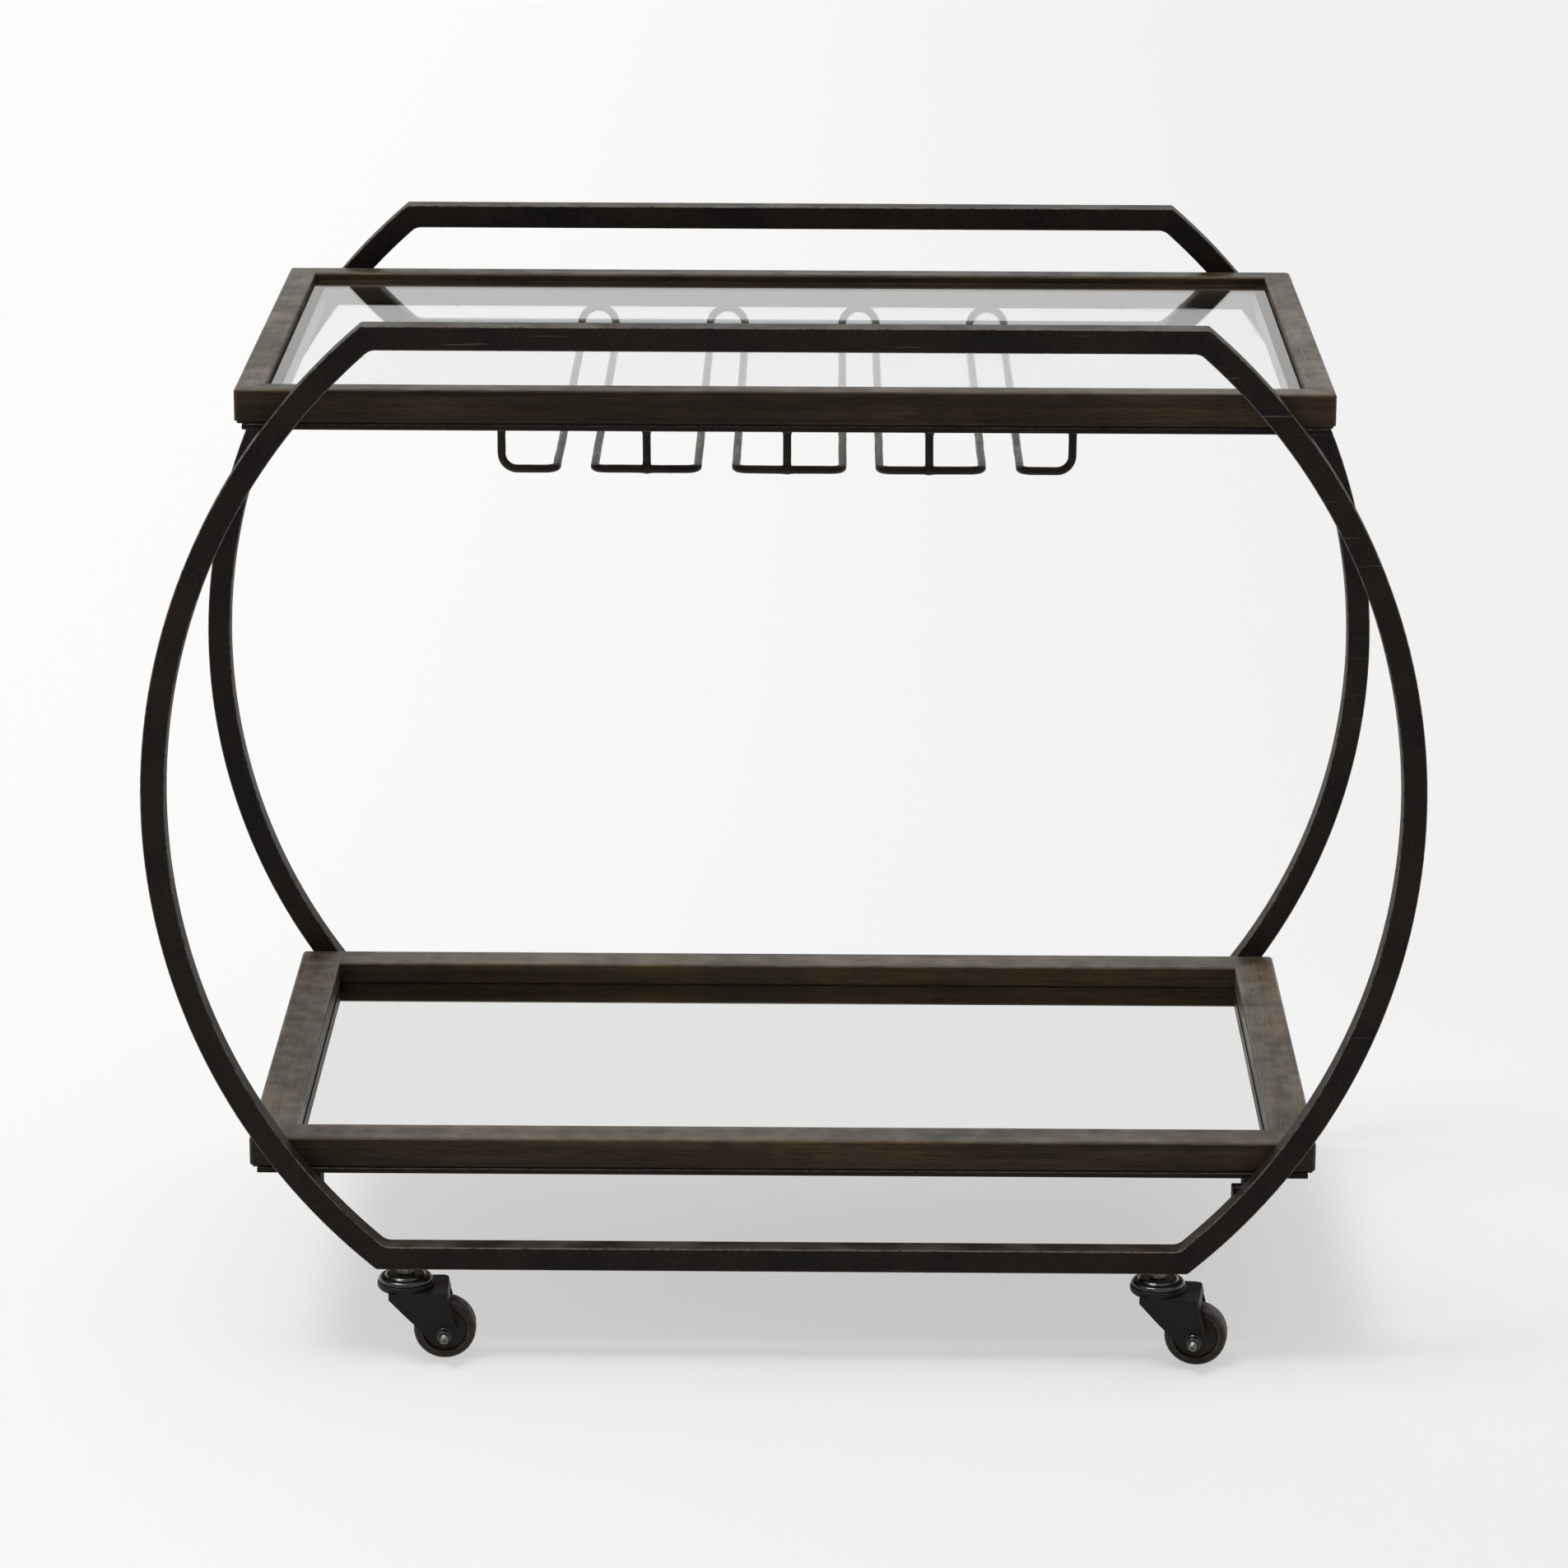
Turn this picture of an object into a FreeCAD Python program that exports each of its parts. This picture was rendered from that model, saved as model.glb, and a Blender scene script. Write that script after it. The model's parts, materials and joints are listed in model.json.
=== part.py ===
import FreeCAD, Part
import math
import os
import Sketcher
from FreeCAD import Placement, Rotation, Vector

# Bar cart on wheels. Two round hoops of square steel tube, each cut off flat at
# the top (a handle) and at the bottom (a caster rail), carry a glass-topped
# tray and a mirror tray between them. A rod rack for stemmed glasses hangs
# under the top tray, and four swivel casters carry the whole cart.
#
# Frame: +X along the cart's length, -Y the front, +Z up. The origin is on the
# floor, under the middle of the cart. Units are millimetres and degrees.

doc = FreeCAD.newDocument("BarCart")
sheet = doc.addObject("Spreadsheet::Sheet", "Sizes")

DRIVING_SIZES = [
    # name, value, what it is
    ("hoop_radius", 500.0, "outer radius of the hoops"),
    ("chord_height", 382.0, "hoop centre to the outer face of the handle and of the caster rail"),
    ("tube_side", 19.0, "side of the square tube"),
    ("tube_wall", 1.5, "wall of the square tube"),
    ("tray_depth", 486.0, "front to back, between the hoops' inner faces"),
    ("top_overhang", 45.0, "top tray's end past the hoop, level with the tray's upper edge"),
    ("top_level", 328.5, "top tray's upper edge above the hoop centre"),
    ("top_wood_height", 27.0, "height of the top tray's wooden rails"),
    ("top_rim_width", 23.0, "width of the wooden rim around the glass"),
    ("glass_recess", 6.0, "wood's upper edge down to the glass"),
    ("glass_thickness", 5.0, "thickness of the glass"),
    ("glass_ledge", 10.0, "width of the wooden ledge under the glass"),
    ("low_overhang", 8.0, "lower tray's end past the hoop, level with the tray's upper edge"),
    ("low_level", 278.0, "lower tray's upper edge below the hoop centre"),
    ("low_rim_width", 35.0, "width of the lower tray's wooden rails"),
    ("mirror_recess", 18.0, "wood's upper edge down to the mirror"),
    ("mirror_thickness", 4.0, "thickness of the mirror"),
    ("board_thickness", 3.0, "thickness of the board behind the mirror"),
    ("pane_gap", 0.5, "gap between a pane and the wood, each side"),
    ("wood_edge_radius", 2.5, "rounding of the wood's long upper edges"),
    ("wood_step", 2.0, "small step along the wood's lower outer edge"),
    ("bar_thickness", 4.5, "thickness of the steel frames under the trays"),
    ("bar_inset", 6.0, "wood's end to the end of the steel frame"),
    ("top_bar_width", 25.0, "width of the steel frame under the top tray"),
    ("board_seat", 10.0, "width of the steel frame that the mirror's board rests on"),
    ("screw_radius", 2.0, "radius of the tray screws"),
    ("screw_head_radius", 4.0, "radius of the tray screws' heads"),
    ("screw_head_height", 2.4, "height of the tray screws' heads"),
    ("screw_grip", 14.0, "length of the tray screws inside the wood"),
    ("screw_play", 0.25, "play around the tray screws in the steel frame"),
    ("screw_inset", 14.0, "outer face of the wood to the tray screws"),
    ("long_screw_spacing", 560.0, "between the two screws of a long rail"),
    ("short_screw_spacing", 300.0, "between the two screws of a short rail"),
    ("rod_radius", 3.2, "radius of the rack's steel rod"),
    ("rack_drop", 32.0, "underside of the steel frame to the middle of the rack's rods"),
    ("rack_setback", 12.0, "tray's front or back face to the middle of the rack's rods"),
    ("slot_pitch", 110.0, "between neighbouring glass slots"),
    ("slot_spread", 28.0, "between the middles of the two rods beside a slot"),
    ("rack_end_reach", 56.0, "middle of an end slot to the upright end of the rod"),
    ("rack_corner_radius", 8.0, "bend radius between crossbar and leg"),
    ("rack_end_radius", 12.0, "bend radius at the rack's two upright ends"),
    ("support_inset", 5.0, "hoop's inner edge out to the support bolts, level with the blocks"),
    ("support_setback", 6.0, "tray's front or back face to the support bolts"),
    ("support_gap", 8.0, "underside of the lower steel frame to the support blocks"),
    ("block_width", 21.0, "width of a support block"),
    ("block_depth", 12.0, "depth of a support block"),
    ("block_height", 11.0, "height of a support block"),
    ("left_block_shift", 8.0, "how far the left blocks sit outward of their bolts"),
    ("support_bolt_radius", 3.25, "radius of the tray support bolts"),
    ("support_head_across", 10.0, "tray support bolt head, across flats"),
    ("support_head_height", 4.0, "tray support bolt head, height"),
    ("caster_inset", 22.6, "end of the caster rail's underside in to the kingpin"),
    ("wheel_headroom", 7.8, "top of the wheel to the fork's roof"),
    ("wheel_radius", 25.0, "radius of the caster wheels"),
    ("tread_width", 20.0, "width of the wheel's tread"),
    ("tread_depth", 7.0, "radial depth of the wheel's raised rim"),
    ("tread_rounding", 3.0, "rounding of the tread's edges"),
    ("web_width", 14.0, "width of the wheel's recessed web"),
    ("hub_radius", 8.0, "radius of the wheel's hub"),
    ("caster_trail", 31.0, "kingpin axis to axle axis"),
    ("left_heading", 2.0, "rest heading of the front left caster"),
    ("right_heading", -8.0, "rest heading of the front right caster"),
    ("kingpin_radius", 4.0, "radius of the kingpin"),
    ("kingpin_head_radius", 7.0, "radius of the kingpin's riveted head"),
    ("kingpin_head_height", 2.5, "height of the kingpin's riveted head"),
    ("kingpin_reach", 8.0, "length of the kingpin inside the tube, above its wall"),
    ("jam_nut_across", 13.0, "nut above the caster, across flats"),
    ("jam_nut_height", 5.5, "nut above the caster, height"),
    ("cap_radius", 21.5, "radius of the fixed upper race"),
    ("cap_top_radius", 19.0, "radius of the upper race's top face"),
    ("cap_height", 5.5, "height of the fixed upper race"),
    ("race_gap", 0.4, "gap between the two races, and over the kingpin's head"),
    ("race_radius", 22.5, "radius of the swivelling lower race"),
    ("race_height", 4.6, "height of the swivelling lower race"),
    ("fork_gauge", 2.2, "sheet thickness of the fork"),
    ("fork_inner_width", 39.6, "between the fork's side plates"),
    ("fork_front_reach", 13.0, "kingpin axis to the fork's front edge"),
    ("fork_rear_reach", 34.0, "kingpin axis to the fork's rear edge"),
    ("fork_lip", 7.0, "height of the lip at the fork's rear"),
    ("fork_cheek", 5.0, "height of the fork's upright front edge"),
    ("fork_shoulder_in", 14.0, "front edge in to the shoulder of the side plates"),
    ("fork_shoulder_drop", 20.0, "fork's top down to the shoulder of the side plates"),
    ("fork_end_radius", 10.5, "rounding of the side plates around the axle"),
    ("running_play", 0.05, "radial play of the running fits"),
    ("bush_wall", 1.95, "wall of the wheel bush"),
    ("bush_end_gap", 0.2, "gap between a bush end and the side plate"),
    ("hub_end_gap", 0.5, "gap between a hub face and the side plate"),
    ("axle_radius", 3.0, "radius of the axle bolt"),
    ("axle_across", 10.0, "axle bolt head and nut, across flats"),
    ("axle_head_height", 4.0, "height of the axle bolt's head"),
    ("axle_nut_height", 5.0, "height of the axle nut"),
    ("axle_flange_radius", 6.2, "radius of the axle nut's flange"),
    ("axle_flange_height", 1.0, "height of the axle nut's flange"),
    ("axle_tail", 6.0, "length of the axle bolt past its nut"),
]


class Size:
    """A number together with the spreadsheet expression that gives it."""

    def __init__(self, value, text):
        self.value = value
        self.text = text

    def __add__(self, other):
        other = as_size(other)
        return Size(self.value + other.value, f"({self.text} + {other.text})")

    def __sub__(self, other):
        other = as_size(other)
        return Size(self.value - other.value, f"({self.text} - {other.text})")

    def __mul__(self, other):
        other = as_size(other)
        return Size(self.value * other.value, f"({self.text} * {other.text})")

    def __truediv__(self, other):
        other = as_size(other)
        return Size(self.value / other.value, f"({self.text} / {other.text})")

    def __neg__(self):
        return Size(-self.value, f"(0 - {self.text})")


def as_size(thing):
    if isinstance(thing, Size):
        return thing
    return Size(float(thing), f"({float(thing)})")


def root(size):
    return Size(math.sqrt(size.value), f"sqrt({size.text})")


def cosine(angle):
    return Size(math.cos(math.radians(angle.value)), f"cos({angle.text} * 1 deg)")


def sine(angle):
    return Size(math.sin(math.radians(angle.value)), f"sin({angle.text} * 1 deg)")


def read_sizes():
    """Write the driving sizes to the sheet and return them by name."""
    sizes = {}
    for row, (name, value, meaning) in enumerate(DRIVING_SIZES, start=1):
        sheet.set(f"A{row}", meaning)
        sheet.set(f"B{row}", str(value))
        sheet.setAlias(f"B{row}", name)
        sizes[name] = Size(value, f"Sizes.{name}")
    doc.recompute()
    return sizes


S = read_sizes()


# ---------------------------------------------------------------- helpers

def bind(thing, prop, size):
    thing.setExpression(prop, as_size(size).text)


def place(thing, x, y, z, turn=0.0, heading=None):
    """Put a piece at a point, turned about Z by a fixed or a bound angle."""
    base = Vector(as_size(x).value, as_size(y).value, as_size(z).value)
    angle = turn if heading is None else heading.value
    thing.Placement = Placement(base, Rotation(Vector(0, 0, 1), angle))
    bind(thing, "Placement.Base.x", x)
    bind(thing, "Placement.Base.y", y)
    bind(thing, "Placement.Base.z", z)
    if heading is not None:
        bind(thing, "Placement.Rotation.Angle", heading)


def new_body(label):
    body = doc.addObject("PartDesign::Body", label)
    body.Label = label
    return body


def new_sketch(body, role, offset=0.0):
    """A sketch on one of the body's own origin planes."""
    sketch = body.newObject("Sketcher::SketchObject", "Outline")
    plane = next(f for f in body.Origin.OriginFeatures if f.Role == role)
    sketch.AttachmentSupport = (plane, [""])
    sketch.MapMode = "FlatFace"
    bind(sketch, "AttachmentOffset.Base.z", offset)
    return sketch


def hold_point(sketch, edge, end, x, y):
    """Tie one end of an edge to a point given from the sketch's origin."""
    for kind, size in (("DistanceX", as_size(x)), ("DistanceY", as_size(y))):
        index = sketch.addConstraint(Sketcher.Constraint(kind, -1, 1, edge, end, size.value))
        bind(sketch, f"Constraints[{index}]", size)


def hold_size(sketch, constraint, size):
    index = sketch.addConstraint(constraint)
    bind(sketch, f"Constraints[{index}]", size)


def polygon(sketch, corners):
    """A closed outline of straight edges through the given corners."""
    points = [Vector(as_size(x).value, as_size(y).value, 0) for x, y in corners]
    edges = []
    for here, there in zip(points, points[1:] + points[:1]):
        edges.append(sketch.addGeometry(Part.LineSegment(here, there)))
    for edge, following in zip(edges, edges[1:] + edges[:1]):
        sketch.addConstraint(Sketcher.Constraint("Coincident", edge, 2, following, 1))
    for edge, (x, y) in zip(edges, corners):
        hold_point(sketch, edge, 1, x, y)


def rectangle(sketch, left, bottom, right, top):
    polygon(sketch, [(left, bottom), (right, bottom), (right, top), (left, top)])


def circle(sketch, x, y, radius):
    centre = Vector(as_size(x).value, as_size(y).value, 0)
    edge = sketch.addGeometry(Part.Circle(centre, Vector(0, 0, 1), radius.value))
    hold_point(sketch, edge, 3, x, y)
    hold_size(sketch, Sketcher.Constraint("Radius", edge, radius.value), radius)


def pad(body, sketch, length, both_ways=False):
    feature = body.newObject("PartDesign::Pad", "Pad")
    feature.Profile = sketch
    if both_ways:
        feature.SideType = "Symmetric"
    bind(feature, "Length", length)
    return feature


def pocket(body, sketch, length, both_ways=False, upward=False):
    feature = body.newObject("PartDesign::Pocket", "Pocket")
    feature.Profile = sketch
    if both_ways:
        feature.SideType = "Symmetric"
    feature.Reversed = upward
    bind(feature, "Length", length)
    return feature


def revolve(body, sketch):
    """Turn a sketch once around its own vertical axis."""
    feature = body.newObject("PartDesign::Revolution", "Revolution")
    feature.Profile = sketch
    feature.ReferenceAxis = (sketch, ["V_Axis"])
    feature.Angle = 360.0
    return feature


def fillet(body, base, radius, wanted):
    """Round the edges of the base feature that a test picks out."""
    doc.recompute()
    names = [f"Edge{i}" for i, edge in enumerate(base.Shape.Edges, start=1) if wanted(edge)]
    feature = body.newObject("PartDesign::Fillet", "Fillet")
    feature.Base = (base, names)
    bind(feature, "Radius", radius)
    return feature


def cylinder(radius, height, x=0.0, y=0.0, z=0.0, along="Z"):
    """A Part cylinder from a point, along +Z, +Y or +X."""
    thing = doc.addObject("Part::Cylinder", "Cylinder")
    bind(thing, "Radius", radius)
    bind(thing, "Height", height)
    aim(thing, x, y, z, along)
    return thing


def hexagon(across, height, x=0.0, y=0.0, z=0.0, along="Z"):
    """A Part hexagonal prism, given across its flats."""
    thing = doc.addObject("Part::Prism", "Hexagon")
    thing.Polygon = 6
    bind(thing, "Circumradius", across / root(as_size(3.0)))
    bind(thing, "Height", height)
    aim(thing, x, y, z, along)
    return thing


def aim(thing, x, y, z, along):
    turns = {"Z": Rotation(), "Y": Rotation(Vector(1, 0, 0), -90),
             "X": Rotation(Vector(0, 1, 0), 90)}
    base = Vector(as_size(x).value, as_size(y).value, as_size(z).value)
    thing.Placement = Placement(base, turns[along])
    bind(thing, "Placement.Base.x", x)
    bind(thing, "Placement.Base.y", y)
    bind(thing, "Placement.Base.z", z)


def box(length, width, height, x, y, z):
    """A Part box centred on x and y, standing on z."""
    thing = doc.addObject("Part::Box", "Box")
    bind(thing, "Length", length)
    bind(thing, "Width", width)
    bind(thing, "Height", height)
    aim(thing, as_size(x) - length / 2, as_size(y) - width / 2, z, "Z")
    return thing


def fuse(pieces):
    thing = doc.addObject("Part::MultiFuse", "Fusion")
    thing.Shapes = pieces
    return thing


def cut(base, tools):
    """Take one or more tools away from a base."""
    thing = doc.addObject("Part::Cut", "Cut")
    thing.Base = base
    thing.Tool = tools[0] if len(tools) == 1 else fuse(tools)
    return thing


def group(label, pieces):
    """Several like pieces that share one node."""
    thing = doc.addObject("Part::Compound", label)
    thing.Links = pieces
    thing.Label = label
    return thing


def name(thing, label):
    thing.Label = label
    return thing


# ---------------------------------------------------------------- levels and places

# Caster levels, measured down from the underside of the caster rail.
cap_top = -S["jam_nut_height"]
cap_bottom = cap_top - S["cap_height"]
race_top = cap_bottom - S["race_gap"]
fork_top = race_top - S["race_height"]
fork_roof = fork_top - S["fork_gauge"]
axle_level = fork_roof - S["wheel_headroom"] - S["wheel_radius"]
fork_outer_width = S["fork_inner_width"] + S["fork_gauge"] * 2

rail_bottom = S["wheel_radius"] - axle_level
hoop_centre = rail_bottom + S["chord_height"]
hoop_y = S["tray_depth"] / 2 + S["tube_side"] / 2
inner_radius = S["hoop_radius"] - S["tube_side"]
inner_chord = S["chord_height"] - S["tube_side"]
inner_corner = root(inner_radius * inner_radius - inner_chord * inner_chord)


def hoop_reach(level):
    """Half the width of a hoop's outline at a level above or below its centre."""
    return root(S["hoop_radius"] * S["hoop_radius"] - level * level)


outer_corner = hoop_reach(S["chord_height"])
top_length = (hoop_reach(S["top_level"]) + S["top_overhang"]) * 2
low_length = (hoop_reach(S["low_level"]) + S["low_overhang"]) * 2
low_bar_width = S["low_rim_width"] + S["board_seat"]

top_wood_bottom = hoop_centre + S["top_level"] - S["top_wood_height"]
top_bar_bottom = top_wood_bottom - S["bar_thickness"]
glass_top = hoop_centre + S["top_level"] - S["glass_recess"]
glass_bottom = glass_top - S["glass_thickness"]

low_wood_height = S["mirror_recess"] + S["mirror_thickness"] + S["board_thickness"]
low_wood_bottom = hoop_centre - S["low_level"] - low_wood_height
low_bar_bottom = low_wood_bottom - S["bar_thickness"]

block_top = low_bar_bottom - S["support_gap"]
block_level = hoop_centre - block_top
support_x = root(inner_radius * inner_radius - block_level * block_level) + S["support_inset"]
support_y = S["tray_depth"] / 2 - S["support_setback"]
kingpin_x = outer_corner - S["caster_inset"]


# ---------------------------------------------------------------- hoops

def straight_tube(label, y, z, upside, stem_holes):
    """The handle or the caster rail: a mitred square tube along X.

    The outer face, on the far side from the hoop's centre, is the longer one.
    upside is +1 when that face is the upper one and -1 when it is the lower.
    """
    body = new_body(label)
    half = S["tube_side"] / 2
    low, high = (outer_corner, inner_corner) if upside < 0 else (inner_corner, outer_corner)
    outline = new_sketch(body, "XZ_Plane")
    polygon(outline, [(-low, -half), (low, -half), (high, half), (-high, half)])
    pad(body, outline, S["tube_side"], both_ways=True)
    hollow = new_sketch(body, "XZ_Plane")
    bore = half - S["tube_wall"]
    rectangle(hollow, -S["hoop_radius"], -bore, S["hoop_radius"], bore)
    pocket(body, hollow, bore * 2, both_ways=True)
    if stem_holes:
        holes = new_sketch(body, "XY_Plane", -half)
        for side in (-1, 1):
            circle(holes, kingpin_x * side, 0.0, S["kingpin_radius"])
        pocket(body, holes, S["tube_wall"], upward=True)
    place(body, 0.0, y, z)


def arc_outline(sketch, outer, inner, outer_end, inner_end):
    """A band between two arcs about the sketch's origin, on its +X side."""
    arcs = []
    for radius, end in ((outer, outer_end), (inner, inner_end)):
        angle = math.asin(end.value / radius.value)
        whole = Part.Circle(Vector(0, 0, 0), Vector(0, 0, 1), radius.value)
        arc = sketch.addGeometry(Part.ArcOfCircle(whole, -angle, angle))
        sketch.addConstraint(Sketcher.Constraint("Coincident", arc, 3, -1, 1))
        hold_size(sketch, Sketcher.Constraint("Radius", arc, radius.value), radius)
        for point, level in ((1, -end), (2, end)):
            height = Sketcher.Constraint("DistanceY", -1, 1, arc, point, level.value)
            hold_size(sketch, height, level)
        arcs.append(arc)
    for point in (1, 2):
        ends = [sketch.getPoint(arc, point) for arc in arcs]
        line = sketch.addGeometry(Part.LineSegment(*ends))
        sketch.addConstraint(Sketcher.Constraint("Coincident", line, 1, arcs[0], point))
        sketch.addConstraint(Sketcher.Constraint("Coincident", line, 2, arcs[1], point))


def arc_tube(label, y, turn):
    """A bent square tube from the handle down to the caster rail."""
    body = new_body(label)
    outline = new_sketch(body, "XZ_Plane")
    arc_outline(outline, S["hoop_radius"], inner_radius, S["chord_height"], inner_chord)
    pad(body, outline, S["tube_side"], both_ways=True)
    hollow = new_sketch(body, "XZ_Plane")
    past_end = S["chord_height"] + S["tube_side"]
    arc_outline(hollow, S["hoop_radius"] - S["tube_wall"], inner_radius + S["tube_wall"],
                past_end, past_end)
    pocket(body, hollow, S["tube_side"] - S["tube_wall"] * 2, both_ways=True)
    place(body, 0.0, y, hoop_centre, turn=turn)


def make_hoops():
    half = S["tube_side"] / 2
    for row, y in (("front", -hoop_y), ("back", hoop_y)):
        handle_z = hoop_centre + S["chord_height"] - half
        straight_tube(f"{row}_handle_rail", y, handle_z, 1, stem_holes=False)
        straight_tube(f"{row}_caster_rail", y, rail_bottom + half, -1, stem_holes=True)
        arc_tube(f"{row}_right_arc", y, 0)
        arc_tube(f"{row}_left_arc", y, 180)


# ---------------------------------------------------------------- trays

def along_x(edge):
    """True for a straight edge that runs along X."""
    ends = [vertex.Point for vertex in edge.Vertexes]
    return len(ends) == 2 and abs(ends[0].y - ends[1].y) + abs(ends[0].z - ends[1].z) < 1e-6


def wood_rail(label, length, section, height, rim_width, full_width, screw_spacing, spot):
    """A mitred wooden rail whose outer face is the plane y = 0 of its own frame."""
    body = new_body(label)
    half = length / 2
    profile = new_sketch(body, "YZ_Plane")
    polygon(profile, section)
    bar = pad(body, profile, length, both_ways=True)

    def upper_edge(edge):
        middle = edge.CenterOfMass
        at_side = min(abs(middle.y), abs(middle.y - rim_width.value)) < 1e-6
        return along_x(edge) and at_side and abs(middle.z - height.value) < 1e-6

    fillet(body, bar, S["wood_edge_radius"], upper_edge)
    mitre = new_sketch(body, "XY_Plane")
    spare = S["wood_step"]
    for side in (-1, 1):
        polygon(mitre, [((half + spare) * side, -spare),
                        ((half + spare) * side, full_width + spare),
                        ((half - full_width - spare) * side, full_width + spare)])
    pocket(body, mitre, height, upward=True)
    pilots = new_sketch(body, "XY_Plane")
    for side in (-1, 1):
        circle(pilots, screw_spacing / 2 * side, S["screw_inset"], S["screw_radius"])
    pocket(body, pilots, S["screw_grip"], upward=True)
    x, y, z, turn = spot
    place(body, x, y, z, turn=turn)


def wood_frame(prefix, length, bottom, section, height, rim_width, full_width):
    """Four mitred rails around a tray."""
    half_length, half_depth = length / 2, S["tray_depth"] / 2
    rails = [
        ("front", length, S["long_screw_spacing"], (0.0, -half_depth, bottom, 0)),
        ("back", length, S["long_screw_spacing"], (0.0, half_depth, bottom, 180)),
        ("left", S["tray_depth"], S["short_screw_spacing"], (-half_length, 0.0, bottom, -90)),
        ("right", S["tray_depth"], S["short_screw_spacing"], (half_length, 0.0, bottom, 90)),
    ]
    for side, rail_length, spacing, spot in rails:
        wood_rail(f"{prefix}_{side}_rail", rail_length, section, height, rim_width,
                  full_width, spacing, spot)


def screw_spots(length):
    """Where the tray screws go, as points of the whole cart."""
    near_y = S["tray_depth"] / 2 - S["screw_inset"]
    near_x = length / 2 - S["screw_inset"]
    spots = []
    for side in (-1, 1):
        for end in (-1, 1):
            spots.append((S["long_screw_spacing"] / 2 * side, near_y * end))
            spots.append((near_x * side, S["short_screw_spacing"] / 2 * end))
    return spots


def tray_screws(label, length, bar_bottom):
    screws = []
    for x, y in screw_spots(length):
        shank_length = S["bar_thickness"] + S["screw_grip"]
        shank = cylinder(S["screw_radius"], shank_length, x, y, bar_bottom)
        head_z = bar_bottom - S["screw_head_height"]
        head = cylinder(S["screw_head_radius"], S["screw_head_height"], x, y, head_z)
        screws.append(fuse([shank, head]))
    group(label, screws)


def steel_frame(label, length, bar_width, bottom, bolt_spots):
    """The flat steel ring that carries a tray, with its screw and bolt holes."""
    outer_length = length - S["bar_inset"] * 2
    whole = box(outer_length, S["tray_depth"], S["bar_thickness"], 0.0, 0.0, bottom)
    window = box(outer_length - bar_width * 2, S["tray_depth"] - bar_width * 2,
                 S["bar_thickness"], 0.0, 0.0, bottom)
    hole_radius = S["screw_radius"] + S["screw_play"]
    holes = [cylinder(hole_radius, S["bar_thickness"], x, y, bottom)
             for x, y in screw_spots(length)]
    holes += [cylinder(S["support_bolt_radius"], S["bar_thickness"], x, y, bottom)
              for x, y in bolt_spots]
    name(cut(whole, [window] + holes), label)


def pane(label, length, rim_width, thickness, bottom):
    """A flat pane that lies inside a tray's rim."""
    inside = (rim_width + S["pane_gap"]) * 2
    name(box(length - inside, S["tray_depth"] - inside, thickness, 0.0, 0.0, bottom), label)


def make_top_tray():
    step, height = S["wood_step"], S["top_wood_height"]
    rim, full = S["top_rim_width"], S["top_rim_width"] + S["glass_ledge"]
    ledge_top = height - S["glass_recess"] - S["glass_thickness"]
    section = [(0.0, step), (0.0, height), (rim, height), (rim, ledge_top),
               (full, ledge_top), (full, 0.0), (step, 0.0), (step, step)]
    wood_frame("top_tray", top_length, top_wood_bottom, section, height, rim, full)
    pane("top_tray_glass", top_length, rim, S["glass_thickness"], glass_bottom)
    steel_frame("top_tray_steel_frame", top_length, S["top_bar_width"], top_bar_bottom, [])
    tray_screws("top_tray_screws", top_length, top_bar_bottom)


def make_lower_tray():
    step, height, rim = S["wood_step"], low_wood_height, S["low_rim_width"]
    section = [(0.0, step), (0.0, height), (rim, height), (rim, 0.0), (step, 0.0), (step, step)]
    wood_frame("lower_tray", low_length, low_wood_bottom, section, height, rim, rim)
    board_bottom = low_wood_bottom
    pane("lower_tray_board", low_length, rim, S["board_thickness"], board_bottom)
    pane("lower_tray_mirror", low_length, rim, S["mirror_thickness"],
         board_bottom + S["board_thickness"])
    bolts = [(support_x * side, support_y * end) for side in (-1, 1) for end in (-1, 1)]
    steel_frame("lower_tray_steel_frame", low_length, low_bar_width,
                low_bar_bottom, bolts)
    tray_screws("lower_tray_screws", low_length, low_bar_bottom)


def make_tray_supports():
    """Blocks welded to the hoops, and bolts that stand on them under the lower tray."""
    blocks, bolts = [], []
    block_bottom = block_top - S["block_height"]
    block_y = S["tray_depth"] / 2 - S["block_depth"] / 2
    for side in (-1, 1):
        shift = -S["left_block_shift"] if side < 0 else as_size(0.0)
        for end in (-1, 1):
            x, y = support_x * side, support_y * end
            block = box(S["block_width"], S["block_depth"], S["block_height"],
                        x + shift, block_y * end, block_bottom)
            hole = cylinder(S["support_bolt_radius"], S["block_height"], x, y, block_bottom)
            blocks.append(cut(block, [hole]))
            shank = cylinder(S["support_bolt_radius"], low_wood_bottom - block_bottom,
                             x, y, block_bottom)
            head = hexagon(S["support_head_across"], S["support_head_height"], x, y,
                           block_bottom - S["support_head_height"])
            bolts.append(fuse([shank, head]))
    group("tray_support_blocks", blocks)
    group("tray_support_bolts", bolts)


# ---------------------------------------------------------------- glass rack

rack_z = top_bar_bottom - S["rack_drop"]
rack_front = S["rack_setback"] - S["tray_depth"] / 2
rack_back = S["tray_depth"] / 2 - S["rack_setback"]


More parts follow.
